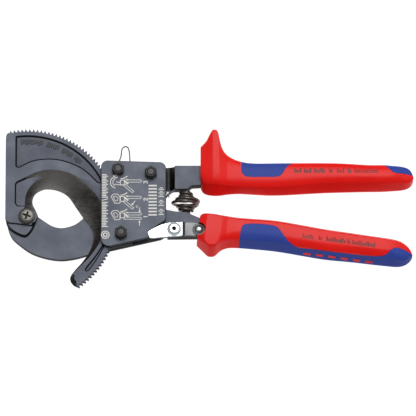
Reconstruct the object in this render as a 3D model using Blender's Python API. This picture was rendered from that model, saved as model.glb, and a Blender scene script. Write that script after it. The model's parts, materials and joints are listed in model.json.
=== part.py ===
"""Ratchet cable cutter: toothed blade, fixed crescent jaw, two plates and two handles.

The tool lies flat: +X runs along the handles, +Z stands out of its front face.
Lengths in this script are millimetres and are scaled to metres when a mesh is made.
"""
import math

import bmesh
import bpy
import numpy as np
from mathutils import Vector

MM = 0.001
GAP = 0.3                        # clearance between neighbouring pieces

# Layers of the sandwich, from the back to the front (low z, high z)
MID_Z = 10.0
BACK_PLATE_Z = (3.0, 5.85)
FIXED_Z = (6.15, 9.85)
FIXED_LOW_HALF_Z = (6.15, 7.85)
FIXED_HIGH_HALF_Z = (8.15, 9.85)
MOVING_Z = (10.15, 13.85)
MOVING_LOW_HALF_Z = (10.15, 11.75)
MOVING_HIGH_HALF_Z = (12.05, 13.85)
SHANK_Z = (6.15, 13.85)
FRONT_PLATE_Z = (14.15, 17.0)

# Joint axes, all along Z
BLADE_PIVOT = (-111.7, -5.4)
HANDLE_PIVOT = (-35.85, 20.9)
DRIVE_PAWL_PIVOT = (-46.0, 11.5)
HOLDING_PAWL_PIVOT = (-55.9, 23.05)
LEVER_PIVOT = (-6.5, -14.4)
LOWER_BOLT = (-54.0, -17.1)
BOLTS = (HOLDING_PAWL_PIVOT, HANDLE_PIVOT, LOWER_BOLT)

# Ratchet teeth on the blade's rim
TIP_RADIUS = 54.8
ROOT_RADIUS = 53.4
TOOTH_PITCH = 2.5                # degrees
FIRST_TOOTH = 98.75              # degrees, at the top
LAST_TOOTH = -53.75
STEEP_FLANK = 0.25               # degrees that a steep flank covers
TIP_LAND = 0.15
SLOPE_FLANK = 1.5
DRIVE_NOSE = -2.0                # where the pawls' noses stand on the rim, degrees
HOLDING_NOSE = 13.9

# Fasteners
BOLT_RADIUS = 2.0
BOLT_HOLE = 2.3
BOLT_HEAD_RADIUS = 3.9
BOLT_TOP = 22.5
NUT_ACROSS_FLATS = 7.0
NUT_Z = (17.3, 21.7)
PIVOT_RADIUS = 2.5
PIVOT_HOLE = 2.8
PIVOT_BUSH_RADIUS = 3.5
PIVOT_HEAD_RADIUS = 4.65
RIVET_RADIUS = 1.8
RIVET_HEAD_RADIUS = 3.6
PAWL_PIN_RADIUS = 1.6

# Return spring, coiled about a line along Y
SPRING_X = -14.1
SPRING_Y = (-1.6, 10.6)
SPRING_TURNS = 7.0
SPRING_END_RADIUS = 3.8
SPRING_BULGE = 4.2
SPRING_WIRE = 0.75

# Grips: where each starts, and which way it points
UPPER_GRIP = (-5.5, 19.5, 0.0)
LOWER_GRIP = (-6.5, -12.5, -7.5)
GRIP_HALF_THICK = 9.0
COLLAR_HALF_THICK = 10.0
EDGE_HALF = 2.2                  # half height of the grip's side edge
COLLAR_LENGTH = 13.0
TANG_LENGTH = 58.0
TANG_Z = (7.5, 12.5)

ROUND = 32                       # sides of a large circle
SMALL_ROUND = 20


# ---------------------------------------------------------------- outlines

def arc(centre, radius, start, end, count):
    """Points on an arc, from start to end in degrees, both ends included."""
    angles = np.radians(np.linspace(start, end, count))
    return [(centre[0] + radius * math.cos(a), centre[1] + radius * math.sin(a)) for a in angles]


def circle(centre, radius, count=ROUND):
    return arc(centre, radius, 0.0, 360.0 * (count - 1) / count, count)


def smooth(points, steps=3):
    """An open Catmull-Rom curve through the points."""
    knots = [points[0]] + list(points) + [points[-1]]
    out = []
    for i in range(1, len(knots) - 2):
        p = [np.array(knots[i + k], float) for k in (-1, 0, 1, 2)]
        for step in range(steps):
            t = step / steps
            out.append(tuple(0.5 * (2 * p[1] + (p[2] - p[0]) * t
                                    + (2 * p[0] - 5 * p[1] + 4 * p[2] - p[3]) * t ** 2
                                    + (3 * p[1] - p[0] - 3 * p[2] + p[3]) * t ** 3)))
    out.append(tuple(points[-1]))
    return out


def rounded(corners, count=5):
    """A closed outline whose corners (x, y, radius) are rounded."""
    out = []
    total = len(corners)
    for i, (x, y, radius) in enumerate(corners):
        here = np.array((x, y))
        if radius == 0:
            out.append((x, y))
            continue
        before = np.array(corners[i - 1][:2]) - here
        after = np.array(corners[(i + 1) % total][:2]) - here
        before /= np.linalg.norm(before)
        after /= np.linalg.norm(after)
        half = 0.5 * math.acos(float(np.clip(before @ after, -1, 1)))
        middle = before + after
        centre = here + middle / np.linalg.norm(middle) * radius / math.sin(half)
        reach = radius / math.tan(half)
        first = here + before * reach - centre
        last = here + after * reach - centre
        a0 = math.atan2(first[1], first[0])
        turn = (math.atan2(last[1], last[0]) - a0 + math.pi) % (2 * math.pi) - math.pi
        for k in range(count):
            a = a0 + turn * k / (count - 1)
            out.append((centre[0] + radius * math.cos(a), centre[1] + radius * math.sin(a)))
    return out


def grown(outline, distance):
    """A closed outline moved outwards by a distance."""
    out = []
    total = len(outline)
    for i in range(total):
        here = np.array(outline[i], float)
        a = here - np.array(outline[i - 1])
        b = np.array(outline[(i + 1) % total]) - here
        na = np.array((a[1], -a[0])) / np.linalg.norm(a)
        nb = np.array((b[1], -b[0])) / np.linalg.norm(b)
        normal = (na + nb) / max(1.0 + float(na @ nb), 0.4)
        out.append(tuple(here + normal * distance))
    return out


def from_grip(grip, points):
    """Grip coordinates (along, across) to the tool's plan."""
    x, y, angle = grip
    c, s = math.cos(math.radians(angle)), math.sin(math.radians(angle))
    return [(x + u * c - w * s, y + u * s + w * c) for u, w in points]


# ---------------------------------------------------------------- meshes

def stack(bm, rings):
    """A closed solid through rings of 3-D points that run anticlockwise seen from the last ring."""
    made = [[bm.verts.new(p) for p in ring] for ring in rings]
    count = len(made[0])
    bm.faces.new(list(reversed(made[0])))
    bm.faces.new(made[-1])
    for low, high in zip(made, made[1:]):
        for i in range(count):
            j = (i + 1) % count
            bm.faces.new((low[i], low[j], high[j], high[i]))


def prism(outline, z, bm=None):
    """An outline, anticlockwise in plan, drawn up between two heights."""
    bm = bm or bmesh.new()
    stack(bm, [[(x, y, height) for x, y in outline] for height in z])
    return bm


def turned(profile, centre, count=ROUND, bm=None):
    """A round solid about a vertical axis, from (radius, z) pairs listed upwards."""
    bm = bm or bmesh.new()
    stack(bm, [[(x, y, z) for x, y in circle(centre, radius, count)] for radius, z in profile])
    return bm


def ring(centre, outer, inner, z, count=ROUND, bm=None):
    """A plain washer or sleeve."""
    bm = bm or bmesh.new()
    loops = []
    for radius, height in ((outer, z[0]), (outer, z[1]), (inner, z[1]), (inner, z[0])):
        loops.append([bm.verts.new((x, y, height)) for x, y in circle(centre, radius, count)])
    for k in range(4):
        low, high = loops[k], loops[(k + 1) % 4]
        for i in range(count):
            j = (i + 1) % count
            bm.faces.new((low[i], low[j], high[j], high[i]))
    return bm


def material(name, colour, roughness, metallic):
    mat = bpy.data.materials.new(name)
    mat.use_nodes = True
    shader = mat.node_tree.nodes["Principled BSDF"]
    shader.inputs["Base Color"].default_value = (*colour, 1.0)
    shader.inputs["Roughness"].default_value = roughness
    shader.inputs["Metallic"].default_value = metallic
    return mat


def world_place(pivot):
    """Where a pivot empty stands, through its parents."""
    return pivot.location + (world_place(pivot.parent) if pivot.parent else Vector())


def add(name, bm, mat, pivot):
    """Make an object of a mesh given in millimetres, standing on a pivot empty."""
    origin = world_place(pivot)
    for vert in bm.verts:
        vert.co = vert.co * MM - origin
    mesh = bpy.data.meshes.new(name)
    bm.to_mesh(mesh)
    bm.free()
    obj = bpy.data.objects.new(name, mesh)
    bpy.context.scene.collection.objects.link(obj)
    obj.parent = pivot
    mesh.shade_smooth()
    mesh.set_sharp_from_angle(angle=math.radians(35))
    if mat:
        mesh.materials.append(mat)
    return obj


def combine(obj, bm, operation, label):
    """Cut, join or trim an object with a hidden helper solid."""
    helper = add(obj.name + "_" + label, bm, None, obj.parent)
    helper.hide_render = True
    helper.display_type = 'WIRE'
    boolean = obj.modifiers.new(label, 'BOOLEAN')
    boolean.operation = operation
    boolean.solver = 'EXACT'
    boolean.object = helper


def drill(obj, centres, radius, z=(-5.0, 30.0), label="holes"):
    bm = bmesh.new()
    for centre in centres:
        prism(circle(centre, radius, SMALL_ROUND), z, bm)
    combine(obj, bm, 'DIFFERENCE', label)


def wire(name, points, radius, mat, pivot, sides=2):
    """A bent wire with closed ends, through points in millimetres."""
    curve = bpy.data.curves.new(name, 'CURVE')
    curve.dimensions = '3D'
    curve.bevel_depth = radius * MM
    curve.bevel_resolution = sides
    curve.use_fill_caps = True
    spline = curve.splines.new('POLY')
    spline.points.add(len(points) - 1)
    for knot, point in zip(spline.points, points):
        place = [c * MM - o for c, o in zip(point, world_place(pivot))]
        knot.co = (*place, 1.0)
    curve.materials.append(mat)
    obj = bpy.data.objects.new(name, curve)
    bpy.context.scene.collection.objects.link(obj)
    obj.parent = pivot
    return obj


def pivot_empty(name, place):
    empty = bpy.data.objects.new(name, None)
    empty.location = (place[0] * MM, place[1] * MM, 0.0)
    bpy.context.scene.collection.objects.link(empty)
    return empty


# ---------------------------------------------------------------- start afresh

for old in list(bpy.data.objects):
    bpy.data.objects.remove(old, do_unlink=True)

FRAME = pivot_empty("frame_origin", (0.0, 0.0))
BLADE = pivot_empty("blade_axis", BLADE_PIVOT)
HANDLE = pivot_empty("handle_axis", HANDLE_PIVOT)
DRIVE = pivot_empty("drive_pawl_axis", DRIVE_PAWL_PIVOT)
HOLD = pivot_empty("holding_pawl_axis", HOLDING_PAWL_PIVOT)
LEVER = pivot_empty("lever_axis", LEVER_PIVOT)
for moving in (DRIVE, LEVER):
    moving.parent = HANDLE
    moving.location = moving.location - HANDLE.location

GUNMETAL = material("gunmetal", (0.10, 0.11, 0.13), 0.5, 0.8)
BLACKED = material("blacked_steel", (0.02, 0.02, 0.025), 0.4, 0.9)
ZINC = material("zinc", (0.62, 0.63, 0.65), 0.3, 0.95)
WARM_STEEL = material("warm_steel", (0.22, 0.20, 0.18), 0.4, 0.9)
BRONZE = material("bearing_bronze", (0.45, 0.30, 0.14), 0.45, 0.9)
SPRING_STEEL = material("spring_steel", (0.10, 0.08, 0.06), 0.35, 0.9)
RED = material("grip_red", (0.80, 0.02, 0.015), 0.5, 0.0)
BLUE = material("grip_blue", (0.02, 0.05, 0.30), 0.6, 0.0)


# ---------------------------------------------------------------- housing plates

FRONT_CORNERS = (
    (-66.4, -26.4, 5.0), (-36.6, -19.5, 0.8), (-37.9, -16.05, 0.8),
    (-26.6, -8.5, 2.0), (-26.6, 28.0, 4.0), (-66.4, 29.3, 4.0),
)
REAR_CORNERS = (
    (-67.4, -26.6, 5.0), (-26.6, -17.2, 5.0), (-26.6, 28.0, 4.0), (-67.4, 29.3, 4.0),
)


def plates():
    for name, corners, z in (("front_plate", FRONT_CORNERS, FRONT_PLATE_Z),
                             ("rear_plate", REAR_CORNERS, BACK_PLATE_Z)):
        plate = add(name, prism(rounded(corners), z), GUNMETAL, FRAME)
        drill(plate, BOLTS, BOLT_HOLE)


# ---------------------------------------------------------------- jaw and blade

JAW_OUTER = ((-124.5, -5.0), (-123.3, -11.7), (-120.9, -17.2), (-116.0, -21.9), (-108.7, -27.2),
             (-100.0, -30.1), (-91.0, -31.3), (-81.7, -30.2), (-73.0, -28.0), (-60.0, -24.4))
JAW_EDGE = ((-73.0, 0.5), (-77.1, -5.5), (-81.7, -9.3), (-86.6, -11.2), (-91.5, -11.8),
            (-96.4, -10.5), (-101.3, -7.4), (-104.9, -4.8))
JAW_HUB = ((-107.3, 0.2), (-111.5, 4.2), (-118.0, 5.2), (-123.3, 1.5))


def fixed_jaw():
    tang = [(-47.0, -21.6), (-46.5, -10.0), (-50.6, -5.0), (-50.6, 17.0), (-64.0, 17.0),
            (-68.0, 8.0)]
    outline = smooth(JAW_OUTER) + tang + smooth(JAW_EDGE) + smooth(JAW_HUB)
    jaw = add("fixed_jaw", prism(outline, FIXED_Z), GUNMETAL, FRAME)
    lap = [(-62.5, 14.0), (-51.2, 14.0), (-51.2, 27.6), (-62.5, 27.6)]
    combine(jaw, prism(lap, FIXED_LOW_HALF_Z), 'UNION', "lap")
    drill(jaw, (HOLDING_PAWL_PIVOT, LOWER_BOLT), BOLT_HOLE)
    drill(jaw, (BLADE_PIVOT,), PIVOT_BUSH_RADIUS + GAP, label="bearing")


BLADE_EDGE = ((-104.9, -5.0), (-106.2, -1.4), (-108.3, 3.3), (-106.2, 9.7), (-101.3, 12.2),
              (-96.4, 12.2), (-91.5, 10.9), (-86.6, 7.8), (-81.7, 0.8), (-77.2, -5.8),
              (-72.8, -11.4), (-71.2, -18.0), (-72.4, -25.0), (-77.3, -33.1), (-82.6, -39.3),
              (-85.1, -44.0), (-82.5, -48.8))
HUB_EDGE = ((-125.0, -6.0), (-123.3, -11.7), (-117.5, -16.2), (-112.3, -17.7), (-108.3, -13.6),
            (-104.9, -5.0))


def tooth_outline():
    """The toothed rim, anticlockwise: each tooth slopes up and drops steeply."""
    points = []
    count = round((FIRST_TOOTH - LAST_TOOTH) / TOOTH_PITCH)
    for k in range(count + 1):
        tip = LAST_TOOTH + k * TOOTH_PITCH
        for radius, turn in ((ROOT_RADIUS, -SLOPE_FLANK), (TIP_RADIUS, -TIP_LAND),
                             (TIP_RADIUS, 0.0), (ROOT_RADIUS, STEEP_FLANK)):
            angle = math.radians(tip + turn)
            points.append((BLADE_PIVOT[0] + radius * math.cos(angle),
                           BLADE_PIVOT[1] + radius * math.sin(angle)))
    return points


def ratchet_blade():
    corner = arc((-122.0, 44.6), 3.0, 90.0, 180.0, 6)
    outline = tooth_outline() + corner + smooth(HUB_EDGE)[:-1] + smooth(BLADE_EDGE)[:-1]
    blade = add("ratchet_blade", prism(outline, MOVING_Z), GUNMETAL, BLADE)
    hub_step = [(-130.0, -25.0), (-103.0, -25.0), (-103.0, -12.5), (-107.0, -11.6), (-112.0, -10.9),
                (-117.0, -9.6), (-130.0, -9.6)]
    combine(blade, prism(hub_step, (12.3, 20.0)), 'DIFFERENCE', "hub_step")
    drill(blade, (BLADE_PIVOT,), PIVOT_BUSH_RADIUS + GAP, label="bearing")
    bush = ring(BLADE_PIVOT, PIVOT_BUSH_RADIUS, PIVOT_HOLE, (6.3, 13.7))
    add("pivot_bush", bush, BRONZE, FRAME)


def blade_pivot():
    screw = turned(((PIVOT_RADIUS, 2.6), (PIVOT_RADIUS, 14.15), (PIVOT_HEAD_RADIUS, 14.15),
                    (PIVOT_HEAD_RADIUS, 15.2), (PIVOT_HEAD_RADIUS - 0.9, 16.0)), BLADE_PIVOT)
    screw = add("pivot_screw", screw, WARM_STEEL, FRAME)
    cross = []
    for quarter in range(4):
        for along, across in ((0.45, -0.45), (2.6, -0.45), (2.6, 0.45)):
            angle = math.atan2(across, along) + math.radians(75.0 + 90.0 * quarter)
            reach = math.hypot(along, across)
            cross.append((BLADE_PIVOT[0] + reach * math.cos(angle),
                          BLADE_PIVOT[1] + reach * math.sin(angle)))
    cross = prism(cross, (14.9, 17.0))
    combine(screw, cross, 'DIFFERENCE', "cross_recess")
    nut = turned(((4.9, 1.4), (5.6, 2.1), (5.6, 5.8)), BLADE_PIVOT, 6)
    nut = add("pivot_nut", nut, BLACKED, FRAME)
    drill(nut, (BLADE_PIVOT,), PIVOT_HOLE)


# ---------------------------------------------------------------- housing fasteners

def fasteners():
    corner_radius = NUT_ACROSS_FLATS / math.sqrt(3)
    for number, centre in enumerate(BOLTS, 1):
        bolt = turned(((BOLT_HEAD_RADIUS - 0.5, 0.0), (BOLT_HEAD_RADIUS, 0.5), (BOLT_HEAD_RADIUS, 2.7),
                       (BOLT_RADIUS, 2.7), (BOLT_RADIUS, BOLT_TOP - 0.4),
                       (BOLT_RADIUS - 0.4, BOLT_TOP)), centre, SMALL_ROUND)
        add(f"plate_bolt_{number}", bolt, BLACKED, FRAME)
        nut = turned(((corner_radius, NUT_Z[0]), (corner_radius, NUT_Z[1] - 0.6),
                      (corner_radius - 0.6, NUT_Z[1])), centre, 6)
        nut = add(f"lock_nut_{number}", nut, BLACKED, FRAME)
        drill(nut, (centre,), BOLT_HOLE)
    add("spacer_sleeve", ring(LOWER_BOLT, 3.4, BOLT_HOLE, MOVING_Z, SMALL_ROUND), ZINC, FRAME)
    add("handle_bush", ring(HANDLE_PIVOT, 3.6, BOLT_HOLE, MOVING_Z, SMALL_ROUND), BRONZE, FRAME)
    spacer = ring(HOLDING_PAWL_PIVOT, 3.1, BOLT_HOLE, MOVING_HIGH_HALF_Z, SMALL_ROUND)
    add("pawl_spacer", spacer, ZINC, FRAME)


# ---------------------------------------------------------------- handle shanks

def tang_outline(grip):
    """The tapered steel tongue inside a grip."""
    return from_grip(grip, [(-3.0, -3.6), (TANG_LENGTH, -2.4), (TANG_LENGTH, 2.4), (-3.0, 4.2)])


def fixed_shank():
    outline = [(-22.3, 11.7), (-13.5, 11.7), (-10.9, 13.9), (-5.8, 14.3), (-5.8, 26.7),
               (-22.3, 26.7)]
    shank = add("fixed_handle_shank", prism(outline, SHANK_Z), GUNMETAL, FRAME)
    tongue = [(-49.9, 12.6), (-28.0, 12.6), (-24.0, 11.2), (-21.0, 11.9), (-21.0, 26.3),
              (-49.9, 26.3)]
    combine(shank, prism(tongue, FIXED_Z), 'UNION', "tongue")
    lap = [(-48.0, 18.6), (-48.0, 27.2)] + arc(HOLDING_PAWL_PIVOT, 4.6, 90.0, 270.0, 9)
    combine(shank, prism(lap, FIXED_HIGH_HALF_Z), 'UNION', "lap")
    combine(shank, prism(tang_outline(UPPER_GRIP), TANG_Z), 'UNION', "tang")
    drill(shank, (HOLDING_PAWL_PIVOT, HANDLE_PIVOT), BOLT_HOLE)


def moving_shank():
    outline = [(-25.8, -17.9), (-8.0, -17.7), (-6.7, -6.2), (-10.8, -4.4), (-13.6, -2.7),
               (-20.7, -2.4), (-25.8, -2.0)]
    shank = add("moving_handle_shank", prism(outline, SHANK_Z), GUNMETAL, HANDLE)
    arm = [(-31.3, -17.9), (-24.0, -17.9), (-24.0, -2.2), (-27.4, -1.0), (-27.6, 12.0)]
    arm += arc(HANDLE_PIVOT, 7.8, -20.0, 170.0, 13)
    arm += [(-42.6, 14.5), (-41.0, 5.0), (-37.5, -3.0), (-32.8, -10.0)]
    combine(shank, prism(arm, MOVING_Z), 'UNION', "arm")
    lobe = [(-42.0, 6.0), (-38.0, 12.0), (-42.0, 19.0)] + arc(DRIVE_PAWL_PIVOT, 3.3, 100.0, 260.0, 9)
    combine(shank, prism(lobe, MOVING_LOW_HALF_Z), 'UNION', "pawl_lobe")
    combine(shank, prism(tang_outline(LOWER_GRIP), TANG_Z), 'UNION', "tang")
    drill(shank, (HANDLE_PIVOT,), 3.6 + GAP, label="bush_hole")
    drill(shank, (DRIVE_PAWL_PIVOT,), PAWL_PIN_RADIUS + GAP, label="pin_hole")
    drill(shank, (LEVER_PIVOT,), RIVET_RADIUS + GAP, label="rivet_hole")
    pin = turned(((PAWL_PIN_RADIUS, 10.2), (PAWL_PIN_RADIUS, 13.8)), DRIVE_PAWL_PIVOT, SMALL_ROUND)
    add("drive_pawl_pin", pin, ZINC, HANDLE)


# ---------------------------------------------------------------- pawls

def on_rim(angle, lift, tangent=0.0):
    """A point beside the toothed rim: its angle, its height over the tips, a shift along the rim."""
    a = math.radians(angle)
    radius = TIP_RADIUS + lift
    return (BLADE_PIVOT[0] + radius * math.cos(a) - tangent * math.sin(a),
            BLADE_PIVOT[1] + radius * math.sin(a) + tangent * math.cos(a))


def pawls():
    nose = [on_rim(DRIVE_NOSE, 0.5), on_rim(DRIVE_NOSE, 2.6, -0.4)]
    eye = arc(DRIVE_PAWL_PIVOT, 3.1, -30.0, 150.0, 11)
    back = [on_rim(DRIVE_NOSE, 1.0, 3.2)]
    drive = add("drive_pawl", prism(nose + eye + back, MOVING_HIGH_HALF_Z), ZINC, DRIVE)
    drill(drive, (DRIVE_PAWL_PIVOT,), PAWL_PIN_RADIUS + GAP)

    nose = [on_rim(HOLDING_NOSE, 0.4), on_rim(HOLDING_NOSE, 2.4), on_rim(HOLDING_NOSE, 4.0, -0.3)]
    eye = arc(HOLDING_PAWL_PIVOT, 3.0, -12.0, 168.0, 11)
    back = [on_rim(HOLDING_NOSE, 2.4, 2.0)]
    holding = add("holding_pawl", prism(nose + eye + back, MOVING_LOW_HALF_Z), ZINC, HOLD)
    drill(holding, (HOLDING_PAWL_PIVOT,), BOLT_HOLE)


# ---------------------------------------------------------------- lock lever

LEVER_TOP = ((-37.6, -16.3), (-36.3, -15.5), (-34.3, -14.3), (-28.9, -11.8), (-23.4, -10.5),
             (-17.3, -10.3), (-15.2, -9.7), (-7.6, -9.9), (-4.5, -11.0), (-3.0, -12.9))
LEVER_BOTTOM = ((-37.6, -17.0), (-36.3, -20.2), (-31.0, -20.1), (-23.4, -19.4), (-17.3, -19.0),
                (-15.2, -18.3), (-7.6, -18.3), (-4.5, -17.4), (-3.0, -15.9))
LEVER_FRONT_Z = 17.3
LEVER_REAR_Z = 14.2
LEVER_SHEET = 1.5
JOGGLE_X = (-17.3, -15.2)
EYELET = (-21.6, -14.8)


def lock_lever():
    bm = bmesh.new()
    rings = []
    for x in (-37.6, -36.3, -34.3, -31.0, -28.9, -23.4, -17.3, -15.2, -7.6, -4.5, -3.0):
        top = float(np.interp(x, *zip(*LEVER_TOP)))
        bottom = float(np.interp(x, *zip(*LEVER_BOTTOM)))
        low = float(np.interp(x, JOGGLE_X, (LEVER_FRONT_Z, LEVER_REAR_Z)))
        high = low + LEVER_SHEET
        rings.append([(x, bottom, low), (x, top, low), (x, top, high), (x, bottom, high)])
    stack(bm, rings)
    lever = add("lock_lever", bm, ZINC, LEVER)
    drill(lever, (LEVER_PIVOT,), RIVET_RADIUS + GAP)
    drill(lever, (EYELET,), 1.4, label="finger_hole")
    eyelet_z = LEVER_FRONT_Z + LEVER_SHEET + GAP
    add("lever_eyelet", ring(EYELET, 3.6, 1.4, (eyelet_z, eyelet_z + 1.2)), ZINC, LEVER)
    head = LEVER_REAR_Z + LEVER_SHEET + GAP
    rivet = turned(((3.0, 3.6), (3.0, 5.85), (RIVET_RADIUS, 5.85), (RIVET_RADIUS, head),
                    (RIVET_HEAD_RADIUS, head), (RIVET_HEAD_RADIUS, head + 0.7),
                    (1.6, head + 1.4)), LEVER_PIVOT)
    add("lever_rivet", rivet, ZINC, HANDLE)


# ---------------------------------------------------------------- springs

def springs():
    points = []
    steps = int(SPRING_TURNS * 14)
    for k in range(steps + 1):
        t = k / steps
        radius = SPRING_END_RADIUS + SPRING_BULGE * (1.0 - abs(2.0 * t - 1.0))
        turn = 2 * math.pi * SPRING_TURNS * t
        y = SPRING_Y[0] + (SPRING_Y[1] - SPRING_Y[0]) * t
        points.append((SPRING_X + radius * math.cos(turn), y, MID_Z + radius * math.sin(turn)))
    wire("return_spring", points, SPRING_WIRE, SPRING_STEEL, FRAME, 1)

    for name, low, high, pivot in (("upper_spring_seat", 8.4, 11.4, FRAME),
                                   ("lower_spring_seat", -2.3, 0.7, HANDLE)):
        bm = bmesh.new()
        stack(bm, [[(x, y, z) for x, z in reversed(circle((SPRING_X, MID_Z), 2.4, SMALL_ROUND))]
                   for y in (low, high)])
        add(name, bm, GUNMETAL, pivot)

    loop = [(-55.9, 27.6), (-54.9, 31.1), (-53.9, 34.8), (-53.3, 37.6), (-52.6, 39.2), (-51.2, 39.9),
            (-49.8, 39.2), (-49.1, 37.6), (-48.7, 34.8), (-48.6, 31.1), (-48.3, 27.5)]
    path = [(x, y, 12.0) for x, y in smooth(loop, 2)]
    wire("hairpin_spring", path, 0.4, ZINC, FRAME, 1)


# ---------------------------------------------------------------- grips

UPPER_OUTER = ((0.0, 19.0), (3.4, 22.5), (5.2, 26.0), (7.2, 29.3), (8.3, 29.7), (10.1, 29.3),
               (11.1, 27.5), (12.0, 22.5), (13.5, 18.0), (15.6, 15.0), (19.3, 12.5), (24.8, 10.6),
               (31.5, 9.6), (67.1, 9.8), (85.5, 9.6), (103.5, 8.6), (119.1, 8.4), (124.6, 7.0),
               (127.7, 4.8), (129.7, 1.9), (130.5, 0.9))
UPPER_INNER = ((0.0, -6.0), (1.5, -9.2), (6.5, -10.8), (15.0, -10.2), (21.8, -9.6), (48.7, -10.1),
               (85.5, -9.1), (119.7, -8.4), (124.6, -7.2), (127.7, -5.0), (129.7, -2.5), (130.5, -1.3))
LOWER_OUTER = ((0.0, -10.1), (3.4, -12.6), (7.4, -15.1), (11.1, -14.6), (13.5, -12.8), (15.6, -11.0),
               (19.3, -9.6), (24.8, -9.0), (33.9, -8.5), (48.7, -8.1), (63.6, -8.7), (78.5, -9.3),
               (94.5, -8.8), (122.2, -8.3), (125.3, -7.7), (128.7, -6.0), (131.1, -3.1), (131.9, -1.6))
LOWER_INNER = ((0.0, 8.6), (1.5, 10.2), (6.7, 10.9), (15.0, 10.4), (22.2, 10.1), (46.2, 11.1),
               (61.1, 10.5), (76.0, 9.7), (110.7, 9.0), (123.1, 8.4), (125.7, 7.3), (128.5, 5.5),
               (131.0, 2.6), (131.9, 0.9))
UPPER_BLUE = ((24.9, 3.2), (26.0, 0.6), (28.2, -0.4), (46.2, -0.5), (49.8, 1.0), (52.6, 4.8),
              (57.0, 6.6), (67.0, 6.6), (108.0, 5.9), (112.5, 5.2), (116.5, 3.6), (119.6, 2.5),
              (124.0, 2.3), (128.0, 1.7), (136.0, -1.2))
LOWER_BLUE = ((25.8, -1.0), (26.6, 3.2), (28.6, 4.6), (46.2, 5.6), (49.8, 3.2), (55.3, -2.5),
              (61.0, -5.2), (69.4, -5.4), (81.7, -5.4), (110.7, -4.6), (115.3, -3.3), (118.2, 0.0),
              (120.7, 1.8), (124.8, 1.7), (129.0, 0.6), (136.0, -2.0))
STATIONS = (0.0, 1.6, 3.4, 5.2, 7.2, 8.6, 10.1, 11.1, 12.2, 13.5, 15.6, 19.3, 24.8, 32.0, 48.7, 67.0,
            85.0, 103.5, 119.1, 123.4, 126.2, 128.4, 129.9)


def grip_rings(grip, outer, inner):
    """Cross-sections of a grip: flat front and back, sloping facets, narrow side edges."""
    flipped = outer[0][1] < inner[0][1]
    low_side, high_side = (outer, inner) if flipped else (inner, outer)
    end = low_side[-1][0]
    rings = []
    for u in STATIONS + (end,):
        low = float(np.interp(u, *zip(*low_side)))
        high = float(np.interp(u, *zip(*high_side)))
        half = float(np.interp(u, (0, COLLAR_LENGTH, 22, 112, 122, 128, end),
                               (COLLAR_HALF_THICK, COLLAR_HALF_THICK, GRIP_HALF_THICK,
                                GRIP_HALF_THICK, 8.2, 6.4, 4.2)))
        slope = float(np.interp(u, (0, COLLAR_LENGTH, 24, 118, end), (2.6, 2.6, 3.8, 3.8, 0.8)))
        section = [(low, -EDGE_HALF), (low + slope, -half), (high - slope, -half), (high, -EDGE_HALF),
                   (high, EDGE_HALF), (high - slope, half), (low + slope, half), (low, EDGE_HALF)]
        plan = from_grip(grip, [(u, w) for w, _ in section])
        rings.append([(x, y, MID_Z + h) for (x, y), (_, h) in zip(plan, section)])
    return rings


def grips():
    for side, grip, outer, inner, blue, pivot in (
            ("upper", UPPER_GRIP, UPPER_OUTER, UPPER_INNER, UPPER_BLUE, FRAME),
            ("lower", LOWER_GRIP, LOWER_OUTER, LOWER_INNER, LOWER_BLUE, HANDLE)):
        rings = grip_rings(grip, outer, inner)
        far = 40.0 if side == "upper" else -40.0
        zone = list(smooth(blue, 2)) + [(136.0, far), (blue[0][0], far)]
        zone = from_grip(grip, zone)
        if side == "lower":
            zone.reverse()
        slot = grown(tang_outline(grip), GAP)
        through = (-5.0, 25.0)

        shell, inlay = bmesh.new(), bmesh.new()
        stack(shell, rings)
        stack(inlay, rings)
        shell = add(side + "_grip_shell", shell, RED, pivot)
        combine(shell, prism(grown(zone, GAP), through), 'DIFFERENCE', "inlay_recess")
        inlay = add(side + "_grip_inlay", inlay, BLUE, pivot)
        combine(inlay, prism(zone, through), 'INTERSECT', "inlay_outline")
        for piece in (shell, inlay):
            combine(piece, prism(slot, (TANG_Z[0] - GAP, TANG_Z[1] + GAP)), 'DIFFERENCE', "tang_slot")
        if side == "lower":
            drill(shell, (LEVER_PIVOT,), 5.0, (-1.0, 25.0), "rivet_clearance")


plates()
fixed_jaw()
ratchet_blade()
blade_pivot()
fasteners()
fixed_shank()
moving_shank()
pawls()
lock_lever()
springs()
grips()
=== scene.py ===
"""The finished looks of the ratchet cable cutter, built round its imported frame.

Lengths are millimetres until a mesh is made. The tool lies flat: +X runs along its
handles and +Z stands out of its front face.
"""
import json
import math

import bmesh
import bpy
import numpy as np
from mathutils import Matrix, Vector


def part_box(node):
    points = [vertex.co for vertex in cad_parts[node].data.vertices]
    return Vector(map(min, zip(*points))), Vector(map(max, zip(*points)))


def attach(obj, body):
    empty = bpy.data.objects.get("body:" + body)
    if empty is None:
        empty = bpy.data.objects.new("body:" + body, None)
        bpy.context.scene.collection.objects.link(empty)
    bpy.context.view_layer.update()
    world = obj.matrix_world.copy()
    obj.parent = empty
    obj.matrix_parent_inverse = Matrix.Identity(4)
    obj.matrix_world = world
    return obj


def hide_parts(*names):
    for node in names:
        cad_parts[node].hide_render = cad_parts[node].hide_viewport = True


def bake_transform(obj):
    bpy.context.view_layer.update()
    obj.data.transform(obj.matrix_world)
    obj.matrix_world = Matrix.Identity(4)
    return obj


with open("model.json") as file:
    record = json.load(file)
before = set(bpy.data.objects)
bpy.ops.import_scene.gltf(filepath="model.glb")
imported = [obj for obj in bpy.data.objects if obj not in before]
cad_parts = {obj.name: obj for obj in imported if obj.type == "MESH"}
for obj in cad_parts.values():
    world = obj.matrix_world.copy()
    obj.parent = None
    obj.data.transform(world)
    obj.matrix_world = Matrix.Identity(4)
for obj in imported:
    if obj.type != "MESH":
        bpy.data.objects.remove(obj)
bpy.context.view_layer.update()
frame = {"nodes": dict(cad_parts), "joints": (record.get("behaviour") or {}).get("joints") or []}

MM = 0.001
EDGE = 0.15  # broken edge of a steel part
BOLT_HOLE = 2.3  # radii
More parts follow.
